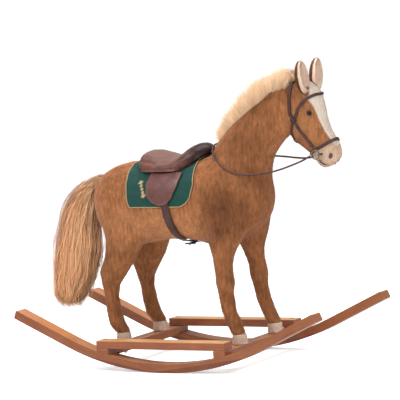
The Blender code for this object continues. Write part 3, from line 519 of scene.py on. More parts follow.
random = np.random.default_rng(7)
PILE_STAND = 0.42


def skin_arrays(obj):
    """The piece's points, point normals and triangles as arrays."""
    mesh = obj.data
    mesh.calc_loop_triangles()
    triangles = np.empty(len(mesh.loop_triangles) * 3, np.int32)
    mesh.loop_triangles.foreach_get("vertices", triangles)
    normals = np.empty(len(mesh.vertices) * 3, np.float32)
    mesh.vertices.foreach_get("normal", normals)
    return mesh_points(mesh), normals.reshape(-1, 3).astype(float), triangles.reshape(-1, 3)


def unit(vectors):
    return vectors / np.maximum(np.linalg.norm(vectors, axis=-1, keepdims=True), 1e-9)


def strand_piece(name, paths, sides, widths, colours, facing, material, body="horse", nodes=()):
    """Flat tapering fibres as one mesh. Each path has the same number of points and ends in a tip."""
    count, steps, _ = paths.shape
    halves = np.array([-0.5, 0.5])[None, None, :, None] * widths[:, :, None, None]
    edges = paths[:, :-1, None, :] + sides[:, None, None, :] * halves
    points = np.concatenate([edges.reshape(count, -1, 3), paths[:, -1:, :]], axis=1)
    per_strand = points.shape[1]
    base = np.arange(count)[:, None] * per_strand
    quads = [base + np.array([2 * k, 2 * k + 1, 2 * k + 3, 2 * k + 2]) for k in range(steps - 2)]
    tips = base + np.array([per_strand - 3, per_strand - 2, per_strand - 1])
    corners = np.concatenate([*quads, tips], axis=1).reshape(-1)
    sizes = np.tile(np.array([4] * (steps - 2) + [3]), count)
    mesh = bpy.data.meshes.new(name)
    mesh.vertices.add(count * per_strand)
    mesh.vertices.foreach_set("co", points.reshape(-1).astype(np.float32))
    mesh.loops.add(len(corners))
    mesh.loops.foreach_set("vertex_index", corners.astype(np.int32))
    mesh.polygons.add(len(sizes))
    mesh.polygons.foreach_set("loop_start", np.concatenate([[0], np.cumsum(sizes)[:-1]]).astype(np.int32))
    mesh.update(calc_edges=True)
    # Each fibre is painted darker toward its root and lighter toward its tip: painted shade deep in the pile
    # and a painted highlight at the tips.
    along = np.repeat(np.linspace(0, 1, steps), 2)[:-1]
    shades = np.interp(along, (0.0, 0.5, 1.0), (0.62, 1.0, 1.16))
    set_tint(mesh, (colours[:, None, :] * shades[None, :, None]).reshape(-1, 3))
    mesh.shade_smooth()
    mesh.normals_split_custom_set_from_vertices(np.repeat(facing, per_strand, axis=0).astype(np.float32))
    obj = bpy.data.objects.new(name, mesh)
    bpy.context.scene.collection.objects.link(obj)
    mesh.materials.append(material)
    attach(obj, body)
    if nodes:
        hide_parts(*nodes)
    return obj


def grow_pile(
    name, skin, count, length, width, colour_of, lie, density=None, material=None
):
    """Covers a skin with short fibres, each a narrow blade that leans along the lie of the pile."""
    points, normals, triangles = skin_arrays(skin)
    corners = points[triangles]
    area = np.linalg.norm(np.cross(corners[:, 1] - corners[:, 0], corners[:, 2] - corners[:, 0]), axis=1)
    centres = corners.mean(axis=1)
    weight = area if density is None else area * density(centres, unit(normals[triangles].mean(axis=1)))
    chosen = random.choice(len(triangles), size=count, p=weight / weight.sum())
    u, v = random.random((2, count))
    flip = u + v > 1
    u, v = np.where(flip, 1 - u, u), np.where(flip, 1 - v, v)
    share = np.stack([1 - u - v, u, v], axis=1)[:, :, None]
    roots = (corners[chosen] * share).sum(axis=1)
    out = unit((normals[triangles[chosen]] * share).sum(axis=1))
    way = lie(roots) + random.normal(0, 0.28, (count, 3))
    way = unit(way - out * (way * out).sum(axis=1, keepdims=True))
    lean = unit(way + out * (PILE_STAND + random.normal(0, 0.10, (count, 1))))
    long = (length(roots) if callable(length) else np.full(count, length)) * random.uniform(0.65, 1.15, count)
    side = unit(np.cross(lean, out) + out * random.normal(0, 0.45, (count, 1)))
    paths = np.stack([roots - out * 0.0006, roots + lean * long[:, None]], axis=1)
    widths = np.full((count, 1), width) * random.uniform(0.75, 1.25, (count, 1))
    colours = colour_of(roots) * random.normal(1.0, 0.10, (count, 1)).clip(0.6, 1.4)
    facing = unit(out * 0.8 + lean * 0.25 + random.normal(0, 0.16, (count, 3)))
    return strand_piece(name, paths, side, widths, colours, facing, material or coat_plush)


def coat_lie(points):
    """Which way the coat is brushed: down the legs and neck, back and down the trunk, down the face."""
    x, y, z = points.T
    way = np.stack([np.full(len(x), -0.55), np.zeros(len(x)), np.full(len(x), -0.85)], axis=1)
    legs = (1 - soft_step(z, 0.38, 0.47))[:, None]
    way = way * (1 - legs) + np.array([-0.08, 0.0, -1.0]) * legs
    neck = (soft_step(x, 0.17, 0.30) * soft_step(z, 0.55, 0.68))[:, None]
    way = way * (1 - neck) + np.array([0.35, 0.0, -0.95]) * neck
    face = soft_step(x, 0.42, 0.47)[:, None]
    return way * (1 - face) + np.array([0.55, 0.0, -0.85]) * face


def coat_length(points):
    """Longer on the body and at the fetlocks, clipped on the face."""
    x, y, z = points.T
    long = np.full(len(x), 0.0115)
    long -= 0.0075 * soft_step(x, 0.39, 0.45) * soft_step(z, 0.60, 0.65)
    long += 0.0025 * np.exp(-(((z - 0.20) / 0.05) ** 2)) * (z < 0.3)
    return long


TACK = [
    "saddle_blanket", "saddle_flap_left", "saddle_flap_right", "girth_strap", "headpiece_strap", "browband",
    "noseband", "throat_lash", "cheek_strap_left", "cheek_strap_right", "rosette_left", "rosette_right",
    "eye_left", "eye_right", "hoof_front_left", "hoof_front_right", "hoof_rear_left", "hoof_rear_right",
]
worn = BVHTree.FromBMesh(merged_copy(*TACK))


def coat_density(centres, outward):
    """None where tack, an eye or a hoof lies close over the skin."""
    keep = np.ones(len(centres))
    for index, (centre, out) in enumerate(zip(centres, outward)):
        start, way = Vector(centre) - Vector(out) * 0.002, Vector(out)
        if worn.ray_cast(start, way, 0.014)[0] is not None:
            keep[index] = 0.0
    return keep


PILE_PIECES = 5
for number in range(PILE_PIECES):
    name = f"coat_pile_{number + 1}"
    grow_pile(name, body_skin, 160000, coat_length, 0.0011, coat_colour_and_painted_light, coat_lie, coat_density)


# ---------------------------------------------------------------------------
# The hooves: stiff cups covered in dense, pinkish grey short plush, sewn to the ends of the legs
# over the threaded feet.
# ---------------------------------------------------------------------------

HOOF_TONE = (0.84, 0.60, 0.47)
HOOF_RIM_HIGHLIGHT = (0.90, 0.72, 0.58)
hoof_plush = plush_finish("hoof_plush", 60.0, (220.0, 220.0, 120.0))
for corner in CORNERS:
    bm = merged_copy(f"hoof_{corner}")
    bm = remeshed(bm, 0.0025, 3)
    swell(bm, -0.0008)
    hoof = make_piece(
        bm, f"plush_hoof_{corner}", hoof_plush, nodes=(f"hoof_{corner}",), smooth=180.0
    )
    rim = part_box(f"hoof_{corner}")[1].z

    # Painted highlight: the top rim of each hoof is lighter.
    def hoof_colour_and_highlight(points, rim=rim):
        upper = soft_step(points[:, 2], rim - 0.012, rim - 0.002)[:, None]
        return np.array(HOOF_TONE) * (1 - upper) + np.array(HOOF_RIM_HIGHLIGHT) * upper

    # The hoof's skin under its pile is painted darker: painted shade.
    set_tint(hoof.data, hoof_colour_and_highlight(mesh_points(hoof.data)) * 0.7)
    grow_pile(
        f"hoof_pile_{corner}", hoof, 9000, 0.0042, 0.0008, hoof_colour_and_highlight,
        lambda points: np.tile((0.0, 0.0, -1.0), (len(points), 1)), material=hoof_plush,
        density=lambda centres, outward: (centres[:, 2] > 0.079) + 0.0,
    )


# ---------------------------------------------------------------------------
# The eyes: domed glass buttons, dark brown with a black pupil, each held by a shank and set in
# a ring of dark felt.
# ---------------------------------------------------------------------------


def ring_piece(centre, radius, wire, around=48, sides=12):
    """A round wire ring that faces sideways, spun from a small circle."""
    bm = bmesh.new()
    bmesh.ops.create_circle(bm, cap_ends=False, radius=wire, segments=sides)
    bmesh.ops.rotate(bm, verts=bm.verts, cent=(0, 0, 0), matrix=Matrix.Rotation(math.radians(90), 3, "X"))
    bmesh.ops.translate(bm, verts=bm.verts, vec=(radius, 0, 0))
    bmesh.ops.spin(
        bm, geom=bm.edges[:] + bm.verts[:], cent=(0, 0, 0), axis=(0, 0, 1), angle=math.tau, steps=around,
        use_merge=True,
    )
    bmesh.ops.remove_doubles(bm, verts=bm.verts, dist=1e-6)
    bmesh.ops.rotate(bm, verts=bm.verts, cent=(0, 0, 0), matrix=Matrix.Rotation(math.radians(90), 3, "X"))
    bmesh.ops.translate(bm, verts=bm.verts, vec=centre)
    bmesh.ops.recalc_face_normals(bm, faces=bm.faces)
    return bm


lid_felt, tree, shader = new_finish("dark_lid_felt", Roughness=0.9, Sheen_Weight=0.3)
felt_fibres = cloudy(tree, place(tree, (1.0, 1.0, 1.0)), 900.0, 3.0)
lid_colour = ramp(tree, felt_fibres, [(0.3, (0.030, 0.012, 0.008)), (0.7, (0.075, 0.032, 0.020))])
tree.links.new(lid_colour, shader.inputs["Base Color"])
raise_by(tree, shader, felt_fibres, 0.5, 0.0004)
for side, sign in SIDES.items():
    low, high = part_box(f"eye_{side}")
    middle = (low + high) / 2
    eye_glass, tree, shader = new_finish(f"eye_glass_{side}", Roughness=0.06)
    shader.inputs["Specular IOR Level"].default_value = 0.18
    coordinates = add(tree, "ShaderNodeTexCoord").outputs["Object"]
    settings = {"Vector": coordinates, "Location": -Vector((middle.x, 0, middle.z)), "Scale": (1, 0, 1)}
    flat = add(tree, "ShaderNodeMapping", settings)
    away = add(tree, "ShaderNodeVectorMath", {0: flat.outputs["Vector"]}, operation="LENGTH").outputs["Value"]
    spread = sum_up(tree, "DIVIDE", away, 0.0072)
    clouds = sum_up(tree, "MULTIPLY", cloudy(tree, coordinates, 700.0), 0.12)
    iris = [
        (0.50, grey(0.001)), (0.60, (0.010, 0.004, 0.002)), (0.80, (0.005, 0.002, 0.001)), (0.9, grey(0.001)),
    ]
    tree.links.new(ramp(tree, sum_up(tree, "ADD", spread, clouds), iris), shader.inputs["Base Color"])
    bm = bmesh.new()
    bmesh.ops.create_uvsphere(bm, u_segments=40, v_segments=28, radius=(high.x - low.x) / 2)
    bmesh.ops.translate(bm, verts=bm.verts, vec=middle)
    make_piece(bm, f"glass_eye_{side}", eye_glass, nodes=(f"eye_{side}",), smooth=180.0)
    bm = ring_piece(middle + Vector((0.0, sign * 0.0006, 0.0)), 0.0074, 0.0015, around=36, sides=8)
    bmesh.ops.scale(bm, verts=bm.verts, vec=(1.12, 1.0, 0.92), space=Matrix.Translation(-middle))
    make_piece(bm, f"eye_lid_{side}", lid_felt, smooth=180.0)


# ---------------------------------------------------------------------------
# The ears: a plush back and a cream velvet lining, sewn together round the rim, turned, and
# folded so that they cup forward.
# ---------------------------------------------------------------------------

EAR_SPLAY = math.radians(11)
EAR_LINING = (0.86, 0.64, 0.50)
for side, sign in SIDES.items():
    bm = merged_copy(f"ear_{side}")
    bm = remeshed(bm, 0.0018, 4)
    swell(bm, -0.0006)
    ear = make_piece(
        bm, f"cupped_ear_{side}", coat_plush, nodes=(f"ear_{side}",), smooth=180.0
    )
    points, normals, _ = skin_arrays(ear)
    low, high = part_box(f"ear_{side}")
    normal_lookup = KDTree(len(points))
    for index, point in enumerate(points):
        normal_lookup.insert(point, index)
    normal_lookup.balance()

    def ear_colour(where, middle=(low + high) / 2, lookup=normal_lookup, normals=normals, sign=sign):
        """Cream inside the cup with painted shade down the crease in its middle, caramel on the back."""
        near = np.array([lookup.find(point)[1] for point in where])
        inside = soft_step(normals[near, 0], -0.05, 0.15)
        fold_shade = (where[:, 1] - middle.y) - sign * math.tan(EAR_SPLAY) * (where[:, 2] - middle.z)
        fold_shade = np.exp(-((fold_shade / 0.0055) ** 2)) * soft_step(where[:, 2], middle.z - 0.045, middle.z - 0.02)
        lining = np.array(EAR_LINING)[None, :] * (1 - 0.42 * fold_shade[:, None] * np.array((0.7, 0.9, 1.1)))
        back = np.tile(np.array(CHESTNUT), (len(where), 1))
        return back * (1 - inside[:, None]) + lining * inside[:, None]

    # The ear's skin under its pile is painted darker: painted shade.
    set_tint(ear.data, ear_colour(points) * 0.85)
    grow_pile(
        f"ear_pile_{side}", ear, 22000, 0.0050, 0.0008, ear_colour,
        lambda where: np.tile((0.25, 0.0, 1.0), (len(where), 1)),
    )


# ---------------------------------------------------------------------------
# The mane: long blond fleece sewn into the crest seam from the poll to the withers, brushed up
# and back so that it stands in a soft, uneven roll.
# ---------------------------------------------------------------------------

CREST = [
    (0.412, 0.870), (0.386, 0.862), (0.352, 0.846), (0.290, 0.806), (0.230, 0.768), (0.185, 0.733),
    (0.156, 0.702),
]
MANE_EDGE = [
    (0.420, 0.910), (0.396, 0.922), (0.352, 0.917), (0.272, 0.882), (0.203, 0.828), (0.150, 0.770),
    (0.126, 0.718),
]
BLOND = (0.74, 0.52, 0.33)
GOLD = (0.66, 0.37, 0.19)


def hair_finish(name):
    """Long synthetic hair with a silky gloss, a little darker toward the root from the painted shade in its
    tint.
    """
    material, tree, shader = new_finish(name, Roughness=0.55, Sheen_Weight=0.35, Sheen_Roughness=0.4)
    shader.inputs["Specular IOR Level"].default_value = 0.3
    tint = add(tree, "ShaderNodeAttribute", attribute_name="tint").outputs["Color"]
    locks = cloudy(tree, place(tree, (70.0, 70.0, 24.0)), 1.0, 3.0)
    fine = cloudy(tree, place(tree, (1.0, 1.0, 1.0)), 420.0, 2.0)
    tones = mix(
        tree,
        0.4,
        ramp(tree, locks, [(0.30, grey(0.36)), (0.70, grey(0.62))]),
        ramp(tree, fine, [(0.30, grey(0.38)), (0.70, grey(0.62))]),
    )
    tree.links.new(mix(tree, 0.8, tint, tones, "OVERLAY"), shader.inputs["Base Color"])
    raise_by(tree, shader, fine, 0.2, 0.0005)
    return material


def smooth_rows(rows, steps):
    """More points on a smooth curve through the given ones."""
    rows = np.array(rows, float)
    padded = np.vstack([2 * rows[0] - rows[1], rows, 2 * rows[-1] - rows[-2]])
    made = []
    for before, start, end, after in zip(padded, padded[1:], padded[2:], padded[3:]):
        for step in range(steps):
            t = step / steps
            made.append(
                0.5 * (2 * start + (end - before) * t + (2 * before - 5 * start + 4 * end - after) * t**2
                       + (3 * start - before - 3 * end + after) * t**3)
            )
    made.append(rows[-1])
    return np.array(made)


def at_share(rows, share):
    """Points along a list of rows, with the share from 0 to 1."""
    places = np.linspace(0, 1, len(rows))
    return np.stack([np.interp(share, places, rows[:, k]) for k in range(rows.shape[1])], axis=-1)


hair = hair_finish("blond_hair")
bm = remeshed(merged_copy("mane"), 0.004, 6)
swell(bm, -0.0085)
mane_core = make_piece(bm, "mane_fleece", hair, nodes=("mane",), smooth=180.0)
# The fleece under the hairs is painted darker than the hair: painted shade deep in the mane.
set_tint(mane_core.data, np.tile(np.array(BLOND) * 0.62, (len(mane_core.data.vertices), 1)))

crest, mane_edge = smooth_rows(CREST, 6), smooth_rows(MANE_EDGE, 6)


def comb_mane(name, count, length_low, length_high, spread, steps=6, stray_spread=0.0035):
    """Fine hairs in overlapping locks, rooted along the crest and curling a little at their ends."""
    locks = 240
    lock = random.random(locks)
    which = random.integers(0, locks, count)
    share = np.clip(lock[which] + random.normal(0, 0.016, count), 0, 1)
    across = random.uniform(-1, 1, locks)[which] * 0.75 + random.uniform(-0.45, 0.45, count)
    wave = random.uniform(0, math.tau, locks)[which] + random.normal(0, 0.8, count)
    start, end = at_share(crest, share), at_share(mane_edge, np.clip(share + 0.035, 0, 1))
    width = 0.0185 * np.clip(np.minimum(share, 1 - share) * 9 + 0.45, 0, 1)
    reach = random.uniform(length_low, length_high, locks)[which] * random.uniform(0.82, 1.10, count)
    t = np.linspace(0, 1, steps)[None, :, None]
    grow = (end - start)[:, None, :] * reach[:, None, None] * t
    back = unit(end - start)[:, None, :] @ np.array([[0.0, 1.0], [-1.0, 0.0]])
    stray = random.normal(0, stray_spread, (count, 1, 1)) * t**2
    bend = -0.011 * t**2 * back + (0.0026 * np.sin(t * 6.0 + wave[:, None, None]) * t + stray) * back
    flat = start[:, None, :] + grow + bend
    y = (across * width)[:, None] * (1 + spread * t[:, :, 0])
    y = y + 0.0030 * np.sin(t[:, :, 0] * 5.0 + 2 * wave[:, None])
    y = y + random.normal(0, 0.0022, (count, 1)) * t[:, :, 0]
    paths = np.stack([flat[:, :, 0], y, flat[:, :, 1]], axis=2)
    facing = unit(np.stack([(end - start)[:, 0] * 6, across * 1.2, (end - start)[:, 1] * 6], axis=1))
    run = paths[:, -1] - paths[:, 0]
    side = unit(np.cross(unit(run), facing) + random.normal(0, 0.35, (count, 3)))
    widths = np.tile(np.linspace(0.0012, 0.0006, steps - 1), (count, 1))
    tone = random.normal(0.95, 0.09, (locks, 1))[which] * random.normal(1.0, 0.09, (count, 1))
    gold = np.clip(random.normal(0.22, 0.16, (locks, 1))[which], 0, 0.7)
    # Shorter hairs, which lie inside the mane, take more of the darker gold: painted shade over the locks'
    # own gold.
    gold = np.clip(gold + 0.55 * (1 - soft_step(reach, 0.35, 0.85))[:, None], 0, 1)
    colours = (np.array(BLOND) * (1 - gold) + np.array(GOLD) * gold) * tone.clip(0.6, 1.3)
    return strand_piece(name, paths, side, widths, colours, facing, hair)


comb_mane("mane_hair_inner", 13000, 0.45, 0.95, 0.25)
comb_mane("mane_hair_outer", 15000, 0.90, 1.16, 0.50)
comb_mane("mane_hair_strays", 3500, 1.05, 1.36, 0.75, stray_spread=0.010)


# ---------------------------------------------------------------------------
# The tail: the same hair in golden blond, bound at the root, sewn into the rump seam, and left
# to hang in long wavy locks. It lifts on its soft root.
# ---------------------------------------------------------------------------

TAIL_ROWS = [
    (-0.326, 0.606, -0.331, 0.582, 0.013),
    (-0.350, 0.606, -0.350, 0.566, 0.020),
    (-0.388, 0.592, -0.368, 0.540, 0.027),
    (-0.440, 0.562, -0.381, 0.480, 0.038),
    (-0.486, 0.502, -0.387, 0.425, 0.046),
    (-0.516, 0.420, -0.394, 0.360, 0.052),
    (-0.535, 0.350, -0.412, 0.300, 0.052),
    (-0.550, 0.280, -0.438, 0.245, 0.046),
    (-0.557, 0.226, -0.456, 0.213, 0.041),
    (-0.556, 0.192, -0.474, 0.186, 0.035),
]
TAIL_LIGHT = (0.86, 0.47, 0.235)
TAIL_DARK = (0.58, 0.255, 0.10)
bm = remeshed(merged_copy("tail"), 0.005, 8)
swell(bm, lambda point: -0.004 - 0.018 * float(soft_step(-point.x, 0.36, 0.44)))
tail_core = make_piece(bm, "tail_fleece", hair, body="tail", nodes=("tail",), smooth=180.0)
# The core under the hair is painted darker than the darkest hair: painted shade deep in the tail.
set_tint(tail_core.data, np.tile(np.array(TAIL_DARK) * 0.8, (len(tail_core.data.vertices), 1)))
tail_rows = smooth_rows(TAIL_ROWS, 5)


def comb_tail(name, count, from_share, to_share, outer, steps=12, frizz=0.006, width=0.0016):
    """Locks that run down the tail, each strand a little in front of or behind its lock."""
    locks = 150
    angle, ring = random.uniform(0, math.tau, locks), np.sqrt(random.uniform(outer**2, 1.0, locks))
    which = random.integers(0, locks, count)
    depth = np.cos(angle)[which] * ring[which] + random.normal(0, 0.13, count)
    across = np.sin(angle)[which] * ring[which] + random.normal(0, 0.13, count)
    phase = random.uniform(0, math.tau, locks)[which] + random.normal(0, 0.6, count)
    start = random.uniform(*from_share, count)
    end = start + (random.uniform(*to_share, locks)[which] + random.normal(0, 0.03, count) - start)
    share = start[:, None] + (end - start)[:, None] * np.linspace(0, 1, steps)[None, :]
    rows = at_share(tail_rows, share.clip(0, 1))
    middle = (rows[:, :, :2] + rows[:, :, 2:4]) / 2
    half = (rows[:, :, :2] - rows[:, :, 2:4]) / 2
    past = np.clip(share - 1.0, 0, None)
    t = np.linspace(0, 1, steps)[None, :]
    wave = np.sin(share * 30.0 + phase[:, None]) * (0.0015 + 0.0060 * t)
    wave = wave + random.normal(0, frizz, (count, 1)) * t**2
    wave = wave + np.sin(share * 62.0 + 3 * phase[:, None]) * 0.0022 * t
    narrow = 1 + 0.04 * t - 0.10 * t**3
    flat = middle + half * (depth[:, None] * narrow)[:, :, None]
    y = across[:, None] * narrow * rows[:, :, 4]
    y = y + np.sin(share * 27.0 + 2 * phase[:, None]) * (0.001 + 0.0055 * t)
    paths = np.stack([flat[:, :, 0] - wave, y, flat[:, :, 1] - past * 0.4 + wave * 0.35], axis=2)
    facing = unit(np.stack([-depth * 0.6 - 0.10, across * 0.8, np.full(count, 0.75)], axis=1))
    run = paths[:, -1] - paths[:, 0]
    side = unit(np.cross(unit(run), facing) + random.normal(0, 0.35, (count, 3)))
    widths = np.tile(np.linspace(width, width * 0.45, steps - 1), (count, 1))
    tone = random.normal(1.0, 0.12, (locks, 1))[which] * random.normal(1.0, 0.07, (count, 1))
    # The outermost strands take less of the dark tone: painted light on the outside of the tail.
    outermost = np.hypot(depth, across)[:, None] > 0.9
    gold = np.clip(random.normal(0.52, 0.24, (locks, 1))[which] - 0.35 * outermost, 0, 1)
    colours = (np.array(TAIL_LIGHT) * (1 - gold) + np.array(TAIL_DARK) * gold) * tone.clip(0.55, 1.35)
    return strand_piece(name, paths, side, widths, colours, facing, hair, body="tail")


comb_tail("tail_hair_root", 5000, (0.0, 0.12), (0.35, 0.7), 0.45)
comb_tail("tail_hair_middle", 7600, (0.05, 0.40), (0.65, 1.0), 0.55)
comb_tail("tail_hair_ends", 7600, (0.15, 0.55), (0.84, 1.05), 0.30)
comb_tail("tail_hair_strays", 1800, (0.10, 0.75), (0.45, 1.06), 0.92, frizz=0.016, width=0.0011)


# ---------------------------------------------------------------------------
# The saddle blanket: one sheet of thick green felt laid over the back, with a gold cord whipped
# round its edge and a small row of diamonds embroidered behind each flap.
# ---------------------------------------------------------------------------

BACK_CENTRE_Z = 0.530
FELT = 0.0030
FELT_TOP = 0.0056
BLANKET_REAR = [
    (0.515, -0.150), (0.522, -0.1555), (0.530, -0.159), (0.560, -0.164), (0.640, -0.176), (0.700, -0.178),
]
BLANKET_FRONT = [
    (0.515, 0.022), (0.519, 0.040), (0.527, 0.057), (0.540, 0.070), (0.552, 0.077), (0.590, 0.086),
    (0.640, 0.078), (0.700, 0.070),
]
BLANKET_MIDDLE_X = -0.05
BLANKET_HEM_Z = 0.5185
back = BVHTree.FromBMesh(merged_copy("trunk"))


def on_back(x, angle, lift):
    """The point over the back at x, at that angle from the middle of the barrel."""
    way = Vector((0.0, math.sin(angle), math.cos(angle)))
    hit, normal, _, _ = back.ray_cast(Vector((x, 0.0, BACK_CENTRE_Z)), way)
    return hit + (normal if normal.dot(way) > 0 else -normal) * lift


def blanket_edges(angle):
    """The rear and front end of the blanket at that angle over the back."""
    height = on_back(BLANKET_MIDDLE_X, angle, FELT_TOP).z
    rear = np.interp(height, *zip(*BLANKET_REAR))
    front = np.interp(height, *zip(*BLANKET_FRONT))
    return float(rear), float(front)


def blanket_bottom():
    """The angle from the top of the back at which the blanket ends."""
    low, high = math.radians(60), math.radians(120)
    for _ in range(24):
        middle = (low + high) / 2
        above = on_back(BLANKET_MIDDLE_X, middle, FELT_TOP).z > BLANKET_HEM_Z
        low, high = (middle, high) if above else (low, middle)
    return low


felt, tree, shader = new_finish("green_felt", Roughness=0.92, Sheen_Weight=0.12, Sheen_Roughness=0.5)
shader.inputs["Specular IOR Level"].default_value = 0.2
fuzz = cloudy(tree, place(tree, (1.0, 1.0, 1.0)), 850.0, 4.0, 0.7)
mottle = cloudy(tree, place(tree, (1.0, 1.0, 1.0)), 70.0, 3.0)
felt_colour = ramp(tree, fuzz, [(0.25, (0.0025, 0.021, 0.017)), (0.75, (0.0085, 0.062, 0.049))])
mottle = ramp(tree, mottle, [(0.3, grey(0.40)), (0.7, grey(0.60))])
felt_colour = mix(tree, 0.7, felt_colour, mottle, "OVERLAY")
tree.links.new(felt_colour, shader.inputs["Base Color"])
raise_by(tree, shader, fuzz, 0.6, 0.0006)

last = blanket_bottom()
ACROSS, ALONG = 72, 40
bm = bmesh.new()
bmesh.ops.create_grid(bm, x_segments=ALONG, y_segments=ACROSS, size=1.0)
for vertex in bm.verts:
    u, v = (vertex.co.x + 1) / 2, vertex.co.y
    angle = last * math.copysign(1 - (1 - abs(v)) ** 1.25, v)
    rear, front = blanket_edges(angle)
    x = rear + (front - rear) * u
    ripple = 0.0005 * noise.noise(Vector((x * 30, v * 9, 0)))
    vertex.co = on_back(x, angle, FELT_TOP + ripple)
soften(bm, [vertex for vertex in bm.verts if not vertex.is_boundary], 1)
bmesh.ops.recalc_face_normals(bm, faces=bm.faces)
over_back = Vector((BLANKET_MIDDLE_X, 0, 0.67))
middle_face = min(bm.faces, key=lambda face: (face.calc_center_median() - over_back).length)
if middle_face.normal.z < 0:
    bmesh.ops.reverse_faces(bm, faces=bm.faces)
rim = [vertex for vertex in bm.verts if vertex.is_boundary]
loop, vertex, before = [rim[0]], rim[0], None
while True:
    along = [edge.other_vert(vertex) for edge in vertex.link_edges if edge.is_boundary]
    before, vertex = vertex, [other for other in along if other is not before][0]
    if vertex is loop[0]:
        break
    loop.append(vertex)
rim_points = [vertex.co.copy() + vertex.normal * 0.0003 for vertex in loop]
bmesh.ops.solidify(bm, geom=bm.faces[:], thickness=FELT)
blanket = make_piece(bm, "felt_blanket", felt, nodes=("saddle_blanket",), smooth=60.0)


def tube_piece(name, points, radius, material, body="horse", closed=False, nodes=(), sides=3):
    """A round cord or wire along the points, as a mesh."""
    curve = bpy.data.curves.new(name, "CURVE")
    curve.dimensions = "3D"
    curve.bevel_depth = radius
    curve.bevel_resolution = sides
    curve.use_fill_caps = True
    spline = curve.splines.new("POLY")
    spline.use_cyclic_u = closed
    spline.points.add(len(points) - 1)
    for spline_point, point in zip(spline.points, points):
        spline_point.co = (*point, 1.0)
    draft = bpy.data.objects.new(name, curve)
    bpy.context.scene.collection.objects.link(draft)
    mesh = bpy.data.meshes.new_from_object(draft.evaluated_get(bpy.context.evaluated_depsgraph_get()))
    bpy.data.objects.remove(draft)
    bm = bmesh.new()
    bm.from_mesh(mesh)
    bpy.data.meshes.remove(mesh)
    bmesh.ops.remove_doubles(bm, verts=bm.verts, dist=1e-6)
    bmesh.ops.recalc_face_normals(bm, faces=bm.faces)
    return make_piece(bm, name, material, body=body, nodes=nodes, smooth=60.0)


def thread_finish(name, light, dark):
    """Twisted thread: fine slanting light and dark plies."""
    material, tree, shader = new_finish(name, Roughness=0.6, Sheen_Weight=0.3)
    settings = {"Vector": place(tree, (1.0, 1.0, 1.0)), "Scale": 260.0, "Distortion": 2.0}
    plies = add(tree, "ShaderNodeTexWave", settings, bands_direction="DIAGONAL")
    tree.links.new(ramp(tree, plies.outputs["Fac"], [(0.2, dark), (0.7, light)]), shader.inputs["Base Color"])
    raise_by(tree, shader, plies.outputs["Fac"], 0.6, 0.0004)
    return material


gold_thread = thread_finish("gold_thread", (0.45, 0.31, 0.12), (0.17, 0.115, 0.040))
tube_piece("blanket_edge_cord", rim_points, 0.0015, gold_thread, closed=True)


def diamond(bm, centre, along, across, out, half_long, half_wide, thick):
    """One padded satin-stitched diamond, a little domed."""
    made = bmesh.ops.create_cone(bm, cap_ends=True, segments=4, radius1=1.0, radius2=0.55, depth=1.0)
    turn = Matrix((along, across, out)).transposed()
    for vertex in made["verts"]:
        flat = Vector((vertex.co.x * half_long, vertex.co.y * half_wide, (vertex.co.z + 0.5) * thick))
        vertex.co = centre + turn @ flat


felt_surface = BVHTree.FromObject(blanket, bpy.context.evaluated_depsgraph_get())
MOTIF_FROM, MOTIF_TO = Vector((-0.1120, 0.0, 0.597)), Vector((-0.0960, 0.0, 0.556))
for side, sign in SIDES.items():
    bm = bmesh.new()
    for number in range(5):
        target = MOTIF_FROM.lerp(MOTIF_TO, number / 4)
        start = Vector((target.x, sign * 0.3, target.z))
        hit, normal, _, _ = felt_surface.ray_cast(start, Vector((0, -sign, 0)))
        way = (MOTIF_TO - MOTIF_FROM).normalized()
        way = (way - normal * way.dot(normal)).normalized()
        size = 1.7 if number in (0, 4) else 1.2
        diamond(bm, hit, way, normal.cross(way), normal, 0.0050 * size, 0.0062 * size, 0.0010)
    make_piece(bm, f"embroidered_diamonds_{side}", gold_thread, smooth=30.0)


# ---------------------------------------------------------------------------
# The saddle: thick brown leather blocked over a padded tree, with a raised pommel and cantle,
# a welted skirt edge, and a stuffed panel beneath that rests on the blanket.
# ---------------------------------------------------------------------------


